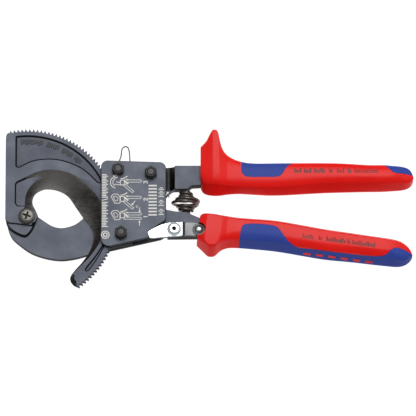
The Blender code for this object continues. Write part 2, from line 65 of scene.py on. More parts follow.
BLADE_HOLE = 3.8
BUSH_HOLE = 3.9
RIVET_HOLE = 2.1
BOSS_HOLE = 1.4
ROUND = 64  # sides of a large circle
SHARP = 32.0  # degrees: a steeper fold between faces stays sharp
CLEAR = (-5.0, 30.0)  # from below the tool to above it

# Material indices of a steel part
FACE, SIDE, BROKEN = 0, 1, 2


# ---- places in the frame

def span(node):
    """A CAD node's lowest and highest corners."""
    return [[c / MM for c in corner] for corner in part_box(node)]


def middle(node):
    low, high = span(node)
    return tuple((a + b) / 2 for a, b in zip(low, high))


def height(node):
    """The lowest and highest z of a CAD node."""
    low, high = span(node)
    return low[2], high[2]


def hinge(name):
    """Where a joint's axis stands in plan."""
    joint = next(j for j in frame["joints"] if j["name"] == name)
    return joint["pos_m"][0] / MM, joint["pos_m"][1] / MM


BLADE_PIVOT = hinge("blade_hinge")
HANDLE_PIVOT = hinge("handle_hinge")
LEVER_PIVOT = hinge("lock_lever_hinge")
BOLTS = [middle(f"plate_bolt_{n}")[:2] for n in (1, 2, 3)]
FIXED_Z = height("fixed_jaw")
MOVING_Z = height("ratchet_blade")
SHANK_Z = height("fixed_handle_shank")
FRONT_PLATE_Z = height("front_plate")
BACK_PLATE_Z = height("rear_plate")
MID_Z = middle("upper_grip_shell")[2]


# ---- outlines

def polar(centre, radius, degrees):
    a = math.radians(degrees)
    return centre[0] + radius * math.cos(a), centre[1] + radius * math.sin(a)


def arc(centre, radius, start, end, count):
    """Points on an arc, from start to end in degrees, both ends included."""
    return [polar(centre, radius, a) for a in np.linspace(start, end, count)]


def circle(centre, radius, count=ROUND, turn=0.0):
    return arc(centre, radius, turn, turn + 360.0 * (count - 1) / count, count)


def smooth(points, steps=5):
    """An open centripetal Catmull-Rom curve through points of any dimension."""
    p = [np.array(point, float) for point in points]
    p = [2 * p[0] - p[1]] + p + [2 * p[-1] - p[-2]]

    def between(a, b, at_a, at_b, t):
        return a + (b - a) * (t - at_a) / (at_b - at_a)

    out = []
    for i in range(1, len(p) - 2):
        at = [0.0]
        for a, b in zip(p[i - 1:i + 2], p[i:i + 3]):
            at.append(at[-1] + np.linalg.norm(b - a) ** 0.5)
        for step in range(steps):
            t = at[1] + (at[2] - at[1]) * step / steps
            row = [between(p[i - 1 + k], p[i + k], at[k], at[k + 1], t) for k in range(3)]
            row = [between(row[k], row[k + 1], at[k], at[k + 2], t) for k in range(2)]
            out.append(tuple(between(row[0], row[1], at[1], at[2], t)))
    out.append(tuple(points[-1]))
    return out


def along(u, table):
    """What a table of (station, value, ...) gives at a station."""
    stations, *columns = zip(*table)
    return [float(np.interp(u, stations, column)) for column in columns]


def rounded(corners, count=6):
    """A closed outline whose corners (x, y, radius) are rounded."""
    out = []
    for i, (x, y, radius) in enumerate(corners):
        here = np.array((x, y))
        if radius == 0:
            out.append((x, y))
            continue
        before = np.array(corners[i - 1][:2]) - here
        after = np.array(corners[(i + 1) % len(corners)][:2]) - here
        before /= np.linalg.norm(before)
        after /= np.linalg.norm(after)
        half = 0.5 * math.acos(float(np.clip(before @ after, -1, 1)))
        bisector = before + after
        centre = here + bisector / np.linalg.norm(bisector) * radius / math.sin(half)
        reach = radius / math.tan(half)
        first = here + before * reach - centre
        last = here + after * reach - centre
        a0 = math.atan2(first[1], first[0])
        turn = (math.atan2(last[1], last[0]) - a0 + math.pi) % (2 * math.pi) - math.pi
        out += arc(centre, radius, math.degrees(a0), math.degrees(a0 + turn), count)
    return out


def grown(outline, distance):
    """A closed outline moved outwards, by one distance or by one for each point."""
    out = []
    total = len(outline)
    distances = [distance] * total if np.isscalar(distance) else distance
    for i, reach in enumerate(distances):
        here = np.array(outline[i], float)
        a = here - np.array(outline[i - 1])
        b = np.array(outline[(i + 1) % total]) - here
        na = np.array((a[1], -a[0])) / np.linalg.norm(a)
        nb = np.array((b[1], -b[0])) / np.linalg.norm(b)
        normal = (na + nb) / max(1.0 + float(na @ nb), 0.4)
        out.append(tuple(here + normal * reach))
    return out


def in_plan(place, points):
    """The plan's points for those given as (along, across) from a place (x, y, degrees)."""
    x, y, angle = place
    c, s = math.cos(math.radians(angle)), math.sin(math.radians(angle))
    return [(x + u * c - w * s, y + u * s + w * c) for u, w in points]


# ---- meshes

def stack(rings, bands=FACE, caps=FACE, bm=None):
    """A closed solid through rings of 3-D points. bands is the sides' material, or one for each."""
    bm = bm or bmesh.new()
    made = [[bm.verts.new(p) for p in ring] for ring in rings]
    count = len(made[0])
    for ring in (made[0][::-1], made[-1]):
        bm.faces.new(ring).material_index = caps
    for k, (low, high) in enumerate(zip(made, made[1:])):
        for i in range(count):
            j = (i + 1) % count
            face = bm.faces.new((low[i], low[j], high[j], high[i]))
            face.material_index = bands if np.isscalar(bands) else bands[k]
    return bm


def levels(outline, steps, bands=SIDE, caps=FACE, bm=None):
    """An outline, anticlockwise in plan, drawn through steps of (z, how far it is grown)."""
    rings = []
    for z, out in steps:
        flat = outline if np.isscalar(out) and out == 0 else grown(outline, out)
        rings.append([(x, y, z) for x, y in flat])
    return stack(rings, bands, caps, bm)


def plate(outline, z, edge):
    """A plate with broken edges."""
    steps = ((z[0], -edge), (z[0] + edge, 0), (z[1] - edge, 0), (z[1], -edge))
    return levels(outline, steps, (BROKEN, SIDE, BROKEN))


def pocket(outline, floor, top, draft, lip=EDGE):
    """A cutter for a recess with a broken lip. draft is how far its walls slope in, all or each."""
    steps = ((floor, -draft), (top - lip, 0), (top, lip), (top + 4.0, lip))
    return levels(outline, steps, (SIDE, BROKEN, SIDE))


def turned(profile, centre, bands=FACE, count=ROUND):
    """A round solid about a vertical axis, from (radius, z) pairs listed upwards."""
    return stack([[(x, y, z) for x, y in circle(centre, radius, count)] for radius, z in profile], bands)


def tube(path, radius, sides=12, bm=None):
    """A round wire with closed, slightly rounded ends along a path of 3-D points."""
    points = [Vector(p) for p in path]
    turns = [2 * math.pi * k / sides for k in range(sides)]
    rings = []
    side = None
    for i, here in enumerate(points):
        way = (points[min(i + 1, len(points) - 1)] - points[max(i - 1, 0)]).normalized()
        if side is None:
            side = way.orthogonal().normalized()
        side = (side - way * side.dot(way)).normalized()
        other = way.cross(side)
        reach = radius * (0.75 if i in (0, len(points) - 1) else 1.0)
        rings.append([here + (side * math.cos(a) + other * math.sin(a)) * reach for a in turns])
    return stack(rings, bm=bm)


def shade(mesh):
    mesh.shade_smooth()
    mesh.set_sharp_from_angle(angle=math.radians(SHARP))


def solid(name, bm, materials):
    """An object made of a mesh in millimetres, of one material or of one for each index."""
    bmesh.ops.recalc_face_normals(bm, faces=bm.faces)
    for vert in bm.verts:
        vert.co *= MM
    mesh = bpy.data.meshes.new(name)
    bm.to_mesh(mesh)
    bm.free()
    obj = bpy.data.objects.new(name, mesh)
    bpy.context.scene.collection.objects.link(obj)
    for mat in materials if isinstance(materials, tuple) else (materials,) * 3:
        mesh.materials.append(mat)
    shade(mesh)
    return obj


def carve(obj, bm, materials, operation='DIFFERENCE'):
    """Cut or trim an object with a solid, whose materials the new faces take."""
    tool = solid(obj.name + "_tool", bm, materials)
    boolean = obj.modifiers.new("carve", 'BOOLEAN')
    boolean.operation = operation
    boolean.solver = 'EXACT'
    boolean.material_mode = 'TRANSFER'
    boolean.object = tool
    bpy.context.view_layer.update()
    graph = bpy.context.evaluated_depsgraph_get()
    result = bpy.data.meshes.new_from_object(obj.evaluated_get(graph))
    if not result.polygons:
        raise RuntimeError(f"nothing is left of {obj.name}")
    obj.modifiers.clear()
    obj.data = result
    bpy.data.objects.remove(tool, do_unlink=True)
    shade(result)


def bore(obj, centre, radius, z=CLEAR):
    """Drill a round hole, right through unless z says how far."""
    hole = levels(circle(centre, radius, 40), ((z[0], 0), (z[1], 0)))
    carve(obj, hole, STEEL_SIDE_SHADE)


def settle(obj, body, slot, *stands_for):
    """Let a finished piece ride on a body, in the place of CAD nodes."""
    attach(obj, body)
    if stands_for:
        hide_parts(*stands_for)


def piece(name, bm, mat, body, slot, *stands_for):
    """A piece of one material that needs no cutting."""
    settle(solid(name, bm, mat), body, slot, *stands_for)


# ---- materials

def surface(name, colour, roughness, metallic=0.0, spread=0.12, patch=90.0, grain=1400.0, bump=0.02,
            stain=None, stain_from=0.55, polish=0.08, stretch=(1.0, 1.0, 1.0), speckle=0.0,
            specular=0.5, glow=0.0, painted_light=None):
    """A surface whose colour and gloss wander in patches, with fine grain (bump in millimetres)."""
    mat = bpy.data.materials.new(name)
    mat.use_nodes = True
    nodes, links = mat.node_tree.nodes, mat.node_tree.links
    shader = nodes["Principled BSDF"]

    def fill(node, values):
        for socket, value in values.items():
            node.inputs[socket].default_value = value
        return node

    fill(shader, {"Metallic": metallic, "Specular IOR Level": specular})
    if glow:
        fill(shader, {"Emission Color": (1.0, 1.0, 1.0, 1.0), "Emission Strength": glow})
    place = nodes.new("ShaderNodeTexCoord")
    scaled = fill(nodes.new("ShaderNodeMapping"), {"Scale": stretch})
    links.new(place.outputs["Object"], scaled.inputs["Vector"])

    def noise(scale, detail, rough=0.55):
        values = {"Scale": scale, "Detail": detail, "Roughness": rough}
        node = fill(nodes.new("ShaderNodeTexNoise"), values)
        links.new(scaled.outputs["Vector"], node.inputs["Vector"])
        return node.outputs["Fac"]

    def remap(value, low, high, to_low, to_high):
        values = {"From Min": low, "From Max": high, "To Min": to_low, "To Max": to_high}
        node = fill(nodes.new("ShaderNodeMapRange"), values)
        links.new(value, node.inputs["Value"])
        return node.outputs["Result"]

    def blended(factor, first, second):
        node = nodes.new("ShaderNodeMix")
        node.data_type = 'RGBA'
        links.new(factor, node.inputs["Factor"])
        for socket, value in (("A", first), ("B", second)):
            target = next(s for s in node.inputs if s.name == socket and s.type == 'RGBA')
            if isinstance(value, tuple):
                target.default_value = (*value, 1.0)
            else:
                links.new(value, target)
        return next(s for s in node.outputs if s.type == 'RGBA')

    patches = noise(patch, 4.0)
    darker = tuple(c * (1.0 - spread) for c in colour)
    lighter = tuple(min(1.0, c * (1.0 + spread)) for c in colour)
    tint = blended(remap(patches, 0.3, 0.7, 0.0, 1.0), darker, lighter)
    if stain:
        share = remap(noise(patch * 1.7, 6.0, 0.7), stain_from, stain_from + 0.2, 0.0, 1.0)
        tint = blended(share, tint, stain)
    # Painted light: the colour turns towards a lighter tone as y rises, a painted highlight where a hollow
    # faces the light.
    if painted_light:
        bright, near, far = painted_light
        across = nodes.new("ShaderNodeSeparateXYZ")
        links.new(place.outputs["Object"], across.inputs["Vector"])
        share = remap(across.outputs["Y"], far * MM, near * MM, 0.0, 0.75)
        tint = blended(share, tint, bright)
    if speckle:
        fine = remap(noise(grain * 0.6, 2.0), 0.35, 0.65, 0.0, speckle)
        tint = blended(fine, tint, tuple(c * 0.35 for c in colour))
    links.new(tint, shader.inputs["Base Color"])
    gloss = remap(patches, 0.3, 0.7, roughness - polish, roughness + polish)
    links.new(gloss, shader.inputs["Roughness"])
    relief = fill(nodes.new("ShaderNodeBump"), {"Strength": 1.0, "Distance": bump * MM})
    links.new(noise(grain, 3.0), relief.inputs["Height"])
    links.new(relief.outputs["Normal"], shader.inputs["Normal"])
    return mat


STEEL = surface("gunmetal_face", (0.081, 0.091, 0.120), 0.52, 0.30, spread=0.05, bump=0.012)
# Near-black steel for every side face and every hole and pocket wall: painted shade, as these faces stand
# away from the overhead light.
STEEL_SIDE_SHADE = surface("gunmetal_side_painted_shade", (0.010, 0.010, 0.012), 0.60, spread=0.25, specular=0.12)
STEEL_EDGE = surface("gunmetal_edge", (0.060, 0.064, 0.074), 0.38, 0.6, spread=0.15)
STEEL_CAST = surface("gunmetal_cast", (0.088, 0.097, 0.128), 0.58, 0.3, spread=0.10, grain=900.0,
                     bump=0.06, speckle=0.25)
# Ground steel, dark with stains; it grows lighter towards the top of its hollow, which is painted light.
GROUND = surface("ground_steel", (0.042, 0.039, 0.036), 0.44, 0.6, spread=0.30, patch=160.0,
                 grain=700.0, bump=0.05, stain=(0.016, 0.0145, 0.0135), stain_from=0.44,
                 stretch=(1.0, 1.6, 1.0), painted_light=((0.170, 0.163, 0.153), 21.0, 9.0))
# Blackened steel for the pocket bars and the fasteners; on the nuts' sides and on the upper shank's tongue
# and fillet it is painted shade.
BLACKED_AND_SHADE = surface("blacked_steel", (0.014, 0.0135, 0.013), 0.33, 0.6, spread=0.30, bump=0.015)
NUT_TOP = surface("nut_top", (0.030, 0.028, 0.027), 0.36, 0.7, spread=0.30)
BOLT_END = surface("bolt_end", (0.040, 0.040, 0.043), 0.42, 0.6, spread=0.25, bump=0.03)
WARM = surface("warm_steel", (0.118, 0.112, 0.100), 0.36, 0.75, bump=0.015)
# Near-black for the screw's cross, the bolts' sockets and a disc down in the lever's boss hole: painted
# shade in recesses and holes.
RECESS_SHADE = surface("recess_painted_shade", (0.006, 0.006, 0.006), 0.6, 0.2)
ZINC = surface("bright_zinc", (0.63, 0.675, 0.685), 0.30, 0.85, spread=0.03, bump=0.008)
# Dull zinc for the small pawls and spacers and the rivet's sides; on the lock lever's rear sheet it is
# painted shade, the bright zinc drawn darker where the sheet steps down.
ZINC_DULL_AND_SHADE = surface("dull_zinc_and_painted_shade", (0.150, 0.152, 0.156), 0.40, 0.6, spread=0.08, bump=0.012)
RIVET = surface("rivet_steel", (0.30, 0.30, 0.30), 0.22, 0.85, spread=0.15, patch=500.0, bump=0.015)
# Dark zinc for the lever's joggle band: painted shade on the bend.
ZINC_JOGGLE_SHADE = surface("zinc_joggle_painted_shade", (0.12, 0.12, 0.125), 0.38, 0.7, spread=0.15)
ZINC_SLOPE = surface("zinc_slope", (0.62, 0.69, 0.74), 0.40, 0.25, spread=0.06, bump=0.008)
WIRE = surface("drawn_wire", (0.11, 0.122, 0.13), 0.35, 0.7, spread=0.15, bump=0.01)
SPRING = surface("spring_wire", (0.120, 0.103, 0.094), 0.30, 0.75, spread=0.15, patch=120.0,
                 stain=(0.050, 0.038, 0.032), stain_from=0.66, bump=0.004)
BRONZE = surface("sintered_bronze", (0.42, 0.27, 0.12), 0.45, 0.85, spread=0.2, bump=0.03)
RED = surface("grip_red", (0.83, 0.0090, 0.0062), 0.36, spread=0.04, patch=60.0, grain=1700.0,
              bump=0.055, polish=0.04, speckle=0.05, specular=0.20)
BLUE = surface("grip_blue", (0.026, 0.058, 0.34), 0.55, spread=0.06, patch=60.0, grain=1500.0,
               bump=0.07, polish=0.05, speckle=0.12, specular=0.24)
PRINT = surface("white_print", (0.76, 0.75, 0.71), 0.6, patch=700.0, bump=0.01)
GRIP_MARK = surface("dark_marking", (0.022, 0.014, 0.014), 0.6, spread=0.2)
FLOOR = surface("floor_paper", (0.18, 0.18, 0.18), 0.85, spread=0.004, patch=6.0, grain=400.0,
                bump=0.01, glow=1.0)

STEEL_SET = (STEEL, STEEL_SIDE_SHADE, STEEL_EDGE)
CAST_SET = (STEEL_CAST, STEEL_SIDE_SHADE, STEEL_EDGE)


# ---- fixed jaw

JAW_OUTER = (
    (-124.5, -5.0), (-123.3, -11.7), (-120.9, -17.8), (-116.0, -22.6), (-108.7, -27.7), (-100.0, -30.8),
    (-91.0, -32.1), (-81.7, -31.0), (-73.0, -28.5), (-60.0, -24.4),
)
JAW_EDGE = (
    (-73.0, 0.5), (-77.1, -5.5), (-81.7, -9.3), (-86.6, -11.2), (-91.5, -11.8), (-96.4, -10.5),
    (-101.3, -7.4), (-104.9, -4.8),
)
JAW_HUB = ((-107.3, 0.2), (-111.5, 4.2), (-118.0, 5.2), (-123.3, 1.5))


def fixed_jaw():
    tang = [(-47.0, -21.6), (-46.5, -10.0), (-50.6, -5.0), (-50.6, 17.0), (-64.0, 17.0), (-68.0, 8.0)]
    outline = smooth(JAW_OUTER) + tang + smooth(JAW_EDGE) + smooth(JAW_HUB)
    jaw = solid("jaw_crescent", plate(outline, FIXED_Z, 0.25), STEEL_SET)
    bore(jaw, BOLTS[2], BOLT_HOLE)
    bore(jaw, BLADE_PIVOT, BLADE_HOLE)
    settle(jaw, "housing", "gunmetal_steel", "fixed_jaw")


# ---- ratchet blade

TIP_RADIUS = 55.3
ROOT_RADIUS = 53.75
TOOTH_PITCH = 2.5  # degrees
FIRST_TOOTH = 101.25
LAST_TOOTH = -53.75

BLADE_EDGE = (
    (-104.9, -5.0), (-106.2, -1.4), (-108.3, 3.3), (-108.0, 6.8), (-106.2, 9.7), (-101.3, 12.2),
    (-96.4, 12.2), (-91.5, 10.9), (-86.6, 7.8), (-81.7, 0.8), (-77.2, -5.8), (-73.6, -10.2),
    (-71.4, -14.6), (-71.2, -18.0), (-72.4, -25.0), (-77.3, -33.1), (-82.6, -39.3), (-85.0, -43.2),
    (-84.6, -46.2), (-82.4, -49.0),
)
HUB_EDGE = (
    (-125.0, -6.0), (-123.3, -11.7), (-117.5, -16.2), (-112.3, -17.7), (-108.3, -13.6), (-104.9, -5.0),
)
HUB_LEVEL = 12.3  # height of the hub's lower step
POCKET_FLOOR = 12.75
RECESS_FLOOR = 12.6
CUT = 3  # material index of the ground steel on the blade
EDGE_HEIGHT = 10.45  # height of the ground cutting edge

POCKET_BORDER = (
    (-116.2, 25.5), (-114.2, 26.6), (-109.5, 28.9), (-104.8, 30.1), (-97.8, 30.6), (-91.5, 29.9),
    (-86.8, 28.6), (-82.1, 26.7), (-77.4, 24.0), (-73.7, 20.9), (-70.4, 17.6), (-68.6, 15.9),
    (-67.2, 15.4), (-65.9, 16.0),
)
SLOT_BORDER = (
    (-60.4, -17.9), (-62.6, -18.6), (-65.5, -23.7), (-70.6, -31.5), (-75.7, -38.2), (-76.0, -39.6),
    (-74.9, -40.3), (-73.4, -39.4), (-68.8, -32.9), (-64.1, -24.6),
)
RECESS_BORDER = (
    (-119.1, 2.8), (-117.6, 0.9), (-106.0, 0.9), (-100.0, 10.0), (-93.0, 15.0), (-91.0, 23.2),
    (-97.3, 24.0), (-102.0, 23.5), (-106.6, 22.2), (-112.3, 19.4), (-118.2, 16.4), (-119.1, 15.0),
)
# How far the recess's walls slope inwards at each point of its border
RECESS_SLOPE = (0.8, 0.8, 0.4, 0.4, 0.4, 4.4, 5.0, 3.8, 2.4, 1.0, 0.8, 0.8)

# The ground hollow: outer border (x, y, z), then the point of the cutting edge across from it
GRIND = (
    ((-113.2, -3.0, 12.6), (-105.6, -3.0)), ((-113.0, 2.4, 12.6), (-107.8, 2.0)),
    ((-112.5, 8.0, 12.6), (-108.0, 6.5)), ((-110.2, 13.0, 12.6), (-106.6, 9.3)),
    ((-106.4, 17.2, 12.6), (-104.4, 11.2)), ((-101.4, 20.4, 12.7), (-100.6, 12.4)),
    ((-96.6, 23.2, 13.2), (-96.4, 12.3)), ((-89.2, 22.9, 13.6), (-91.5, 10.9)),
    ((-83.2, 20.8, 13.8), (-87.4, 8.5)), ((-77.6, 17.2, 13.9), (-83.5, 3.5)),
    ((-72.0, 11.5, 13.9), (-80.0, -1.8)), ((-67.3, 5.3, 13.9), (-77.0, -6.1)),
    ((-65.0, -2.0, 13.9), (-74.4, -9.2)), ((-64.4, -10.0, 13.9), (-72.2, -12.8)),
    ((-65.2, -17.0, 13.9), (-71.2, -17.4)), ((-67.2, -22.2, 13.9), (-72.0, -23.6)),
    ((-70.0, -26.8, 13.9), (-74.4, -28.4)), ((-73.2, -31.2, 13.9), (-77.5, -33.4)),
    ((-76.9, -35.3, 13.9), (-80.7, -37.2)), ((-80.7, -39.2, 13.9), (-83.6, -40.6)),
    ((-83.6, -43.0, 13.9), (-85.2, -43.6)),
)


def tooth_outline():
    """The toothed rim, anticlockwise: each tooth slopes up and drops steeply."""
    points = []
    count = round((FIRST_TOOTH - LAST_TOOTH) / TOOTH_PITCH)
    profile = ((ROOT_RADIUS, -1.35), (ROOT_RADIUS + 0.25, -1.15), (TIP_RADIUS - 0.12, -0.32),
               (TIP_RADIUS, -0.18), (TIP_RADIUS - 0.05, 0.0), (ROOT_RADIUS, 0.45))
    for k in range(count + 1):
        tip = LAST_TOOTH + k * TOOTH_PITCH
        points += [polar(BLADE_PIVOT, radius, tip + turn) for radius, turn in profile]
    return points


def grind_cutter():
    """The hollow that grinding leaves: a dished band from its outer border to the cutting edge."""
    border = smooth([outer for outer, _ in GRIND], 4)
    edge = smooth([inner for _, inner in GRIND], 4)
    above = MOVING_Z[1] + 3.0
    rings = []
    for (x0, y0, z0), (x1, y1) in zip(border, edge):
        start, way = np.array((x0, y0)), np.array((x1 - x0, y1 - y0))
        unit = way / np.linalg.norm(way)
        section = [(*(start + way * t), z0 - (z0 - EDGE_HEIGHT) * (1.0 - (1.0 - t) ** 1.8))
                   for t in np.linspace(0.0, 1.0, 9)]
        far, near = start + way + unit * 3.0, start - unit * 0.3
        rings.append([*section, (*far, EDGE_HEIGHT - 0.05), (*far, above), (*near, above)])
    return stack(rings)


def pocket_outline():
    """The upper pocket: its rim, two rounded corners and its lower border."""
    rim = arc(BLADE_PIVOT, 51.3, 26.2, 96.4, 40)
    corners = rounded([rim[-1] + (0,), (-118.9, 45.4, 1.0), (-118.9, 24.9, 1.8), (-116.2, 25.5, 0)])
    return rim + corners[1:-1] + smooth(POCKET_BORDER, 3)


def rim_marks():
    """Plain raised bars in four groups along the upper pocket, in place of lettering."""
    bm = bmesh.new()
    for first, last, count in ((46.8, 51.4, 4), (55.0, 62.6, 6), (66.4, 74.6, 6), (79.0, 94.2, 11)):
        for k, across in enumerate(np.linspace(first, last, count)):
            low, high = (45.7, 48.8) if k % 3 else (46.4, 48.8)
            outline = [polar(BLADE_PIVOT, radius, across + turn)
                       for radius, turn in ((low, -0.42), (high, -0.42), (high, 0.42), (low, 0.42))]
            steps = ((POCKET_FLOOR - 0.2, 0.1), (POCKET_FLOOR + 0.28, 0), (POCKET_FLOOR + 0.36, -0.1))
            levels(outline, steps, bm=bm)
    return bm


def recess_marks():
    """Three faint bars in the blade's left recess."""
    bm = bmesh.new()
    for y in (4.2, 6.3, 8.4):
        outline = [(-117.6, y), (-115.4, y), (-115.4, y + 0.9), (-117.6, y + 0.9)]
        steps = ((RECESS_FLOOR - 0.1, 0.1), (RECESS_FLOOR + 0.12, 0), (RECESS_FLOOR + 0.18, -0.08))
        levels(outline, steps, bm=bm)
    return bm


def ratchet_blade():
    teeth = tooth_outline()
    corner = arc((-121.6, 44.9), 3.4, 118.0, 180.0, 10)
    hub = smooth(HUB_EDGE)[:-1]
    edge = smooth(BLADE_EDGE)[:-1]
    outline = teeth + corner + hub + edge
    slope = [0.1] * len(teeth) + [0.3] * len(corner)
    slope += [1.9 if y < -9.0 else 0.3 for _, y in hub]
    slope += [2.6 if y < -41.5 else 0.15 for _, y in edge]
    base, top = MOVING_Z
    steps = ((base, -0.1), (base + 0.1, 0), (base + 0.5, 0), (top - 0.12, [0.1 - s for s in slope]),
             (top, [-s for s in slope]))
    body = levels(outline, steps, (BROKEN, SIDE, SIDE, BROKEN))
    for face in body.faces:
        spot = face.calc_center_median()
        if face.material_index == BROKEN and spot.y < -41.0 and spot.z > top - 0.5:
            face.material_index = CUT
    blade = solid("blade_body", body, STEEL_SET + (GROUND,))

    hub_step = [(-130.0, -25.0), (-102.8, -25.0), (-102.8, -11.5), (-106.4, -11.6), (-109.0, -11.0),
                (-112.0, -10.6), (-116.5, -10.0), (-122.0, -9.4), (-130.0, -9.2)]
    carve(blade, pocket(hub_step, HUB_LEVEL, top, 0.35), STEEL_SET)
    carve(blade, pocket(pocket_outline(), POCKET_FLOOR, top, 0.9), CAST_SET)
    carve(blade, pocket(smooth(SLOT_BORDER, 4), POCKET_FLOOR, top, 0.75, 0.1), CAST_SET)
    recess = pocket(RECESS_BORDER, RECESS_FLOOR, top, np.array(RECESS_SLOPE))
    for face in recess.faces:
        if face.material_index == SIDE and face.calc_center_median().x > -110.5:
            face.material_index = CUT
    carve(blade, recess, STEEL_SET + (GROUND,))
    carve(blade, grind_cutter(), GROUND)
    bore(blade, BLADE_PIVOT, BLADE_HOLE)
    settle(blade, "blade", "gunmetal_steel", "ratchet_blade")

    piece("pocket_ribs", rim_marks(), BLACKED_AND_SHADE, "blade", "gunmetal_steel")
    piece("recess_ribs", recess_marks(), STEEL_EDGE, "blade", "gunmetal_steel")


# ---- housing plates and their print

FRONT_CORNERS = (
    (-66.4, -26.4, 5.0), (-36.6, -19.5, 0.8), (-37.9, -16.05, 0.8),
    (-26.6, -8.5, 2.0), (-26.6, 28.0, 4.0), (-66.4, 29.3, 4.0),
)
REAR_CORNERS = ((-67.4, -26.6, 5.0), (-26.6, -17.2, 5.0), (-26.6, 28.0, 4.0), (-67.4, 29.3, 4.0))
PRINT_LIFT = 0.035


def housing_plates():
    for name, node, corners, z in (("plate_front", "front_plate", FRONT_CORNERS, FRONT_PLATE_Z),
                                   ("plate_back", "rear_plate", REAR_CORNERS, BACK_PLATE_Z)):
        made = solid(name, plate(rounded(corners, 12), z, 0.3), STEEL_SET)
        for centre in BOLTS:
            bore(made, centre, BOLT_HOLE)
        settle(made, "housing", "gunmetal_steel", node)


def printed(bm, outline):
    """A patch of print. Crossing patches stand at slightly different heights."""
    step = len(bm.verts) // len(outline) % 7
    z = FRONT_PLATE_Z[1]
    levels(outline, ((z - 0.02, 0), (z + PRINT_LIFT + 0.004 * step, 0)), bm=bm)


def heading(start, end):
    return math.degrees(math.atan2(end[1] - start[1], end[0] - start[0]))


def stroke(bm, points, width):
    """A printed line with square ends through points in plan."""
    half = width / 2
    for start, end in zip(points, points[1:]):
        first, last = -0.6 * half, math.dist(start, end) + 0.6 * half
        corners = ((first, -half), (last, -half), (last, half), (first, half))
        printed(bm, in_plan((*start, heading(start, end)), corners))


def arrow(bm, tail, head):
    """A small solid arrow."""
    neck, *barbs = in_plan((*head, heading(tail, head)), ((-1.5, 0), (-1.5, -0.75), (0, 0), (-1.5, 0.75)))
    stroke(bm, (tail, neck), 0.45)
    printed(bm, barbs)


def numeral(bm, digit, centre):
    """A step number, lying on its side like the rest of the print."""
    shapes = {
        1: ((-0.35, 0.75), (0.0, 1.1), (0.0, -1.1)),
        2: ((-0.7, 0.7), (-0.3, 1.1), (0.4, 1.05), (0.7, 0.5), (-0.7, -1.05), (0.75, -1.05)),
        3: ((-0.7, 1.05), (0.6, 1.05), (0.0, 0.2), (0.7, -0.3), (0.35, -1.0), (-0.7, -0.95)),
    }
    stroke(bm, [(centre[0] - y, centre[1] + x) for x, y in shapes[digit]], 0.5)


def pictogram(bm, place, open_angle, head_open):
    """A small drawing of a cutter: a blunt head, a square housing and two handles."""
    x, y = place

    def line(points, width=0.42):
        stroke(bm, [(x + a, y + b) for a, b in points], width)

    if head_open:
        line(arc((0.9, 0.0), 3.7, 105.0, 258.0, 10), 0.5)
        line(arc((0.9, 0.0), 2.3, 118.0, 245.0, 7), 0.4)
        line(((-0.9, 4.0), (2.0, 4.4)), 1.1)
        line(((-0.5, 2.8), (1.6, 3.1)), 0.8)
        line(((0.2, -1.2), (1.6, -1.6), (3.2, -1.4)))
        line(((1.0, 0.4), (2.2, -0.2), (3.2, 0.2)))
    else:
        line(((-2.4, 1.4), (-1.0, 2.9), (1.8, 2.9), (3.1, 0.9), (3.1, -2.8), (0.0, -2.9), (-2.4, 1.4)))
        line(((-1.1, 1.3), (0.6, 1.6), (1.9, 0.4), (1.6, -1.2), (0.2, -1.4), (-1.1, 1.3)), 0.36)
    line(((3.3, 1.4), (5.8, 1.4), (5.8, -1.7), (3.3, -1.7), (3.3, 1.4)), 0.45)
    line(((3.6, 2.2), (5.6, 2.6), (7.4, 3.8)), 0.6)
    line(((5.9, 0.9), (7.9, -0.9)), 1.0)
    line(((6.9, 1.9), (8.0, 1.4)), 0.7)
    line(((7.9, 1.6), (15.7, 1.5), (16.3, 0.8), (15.7, 0.1), (7.9, 0.1)), 0.36)
    if open_angle:
        starts = ((6.2, -1.2), (5.2, -2.1))
        ends = [polar(start, 7.0, open_angle) for start in starts]
        for side in (*zip(starts, ends), ends):
            line(side, 0.36)
        line(((5.0, -1.6), (6.6, -1.2)), 0.7)
    else:
        line(((6.2, -1.2), (15.7, -1.4), (16.3, -2.0), (15.7, -2.7), (5.2, -2.5)), 0.36)


def plate_print():
    """Generic white print: three numbered sketches of the handles, and plain bars where words stood."""
    bm = bmesh.new()
    left, right = FRONT_CORNERS[0][0], FRONT_CORNERS[3][0]
    for row, (digit, angle, head_open) in enumerate(((3, -40.0, True), (2, -40.0, False), (1, 0.0, False))):
        y = 15.2 - 10.4 * row
        pictogram(bm, (left + 8.6, y), angle, head_open)
        numeral(bm, digit, (right - 12.45, y + 0.1 - 0.5 * row))
    arrow(bm, (-45.4, 3.4), (-47.8, 0.5))
    arrow(bm, (-42.7, -0.9), (-42.7, -4.3))
    arrow(bm, (-42.7, -12.1), (-42.7, -8.8))
    stroke(bm, arc((-44.3, -0.2), 0.6, 0.0, 360.0, 9), 0.28)

    start, y = left + 0.9, -12.8  # the heading: two words and a slanting line between them
    for group in (16, 15):
        for k in range(group):
            stroke(bm, ((start, y), (start + (3.3, 2.3, 2.3, 3.3, 2.3)[k % 5], y)), 0.62)
            y += 1.02
        if group == 16:
            stroke(bm, ((start, y + 0.3), (start + 3.3, y + 1.2)), 0.5)
            y += 2.3
    for radius, width in ((2.35, 0.55), (1.15, 0.7)):
        stroke(bm, arc((left + 2.8, -18.0), radius, 0.0, 360.0, 17), width)

    for y in np.linspace(-5.4, 13.1, 10):
        stroke(bm, ((right - 10.4, y), (right - 5.9, y)), 0.95)
    y = -5.2
    for group in (2, 2, 3):
        for _ in range(group):
            stroke(bm, ((right - 4.5, y), (right - 1.4, y)), 0.5)
            stroke(bm, ((right - 3.7, y + 1.0), (right - 2.2, y + 1.0)), 0.5)
            y += 2.25
        y += 1.2
    piece("plate_print", bm, PRINT, "housing", "gunmetal_steel")


# ---- fasteners

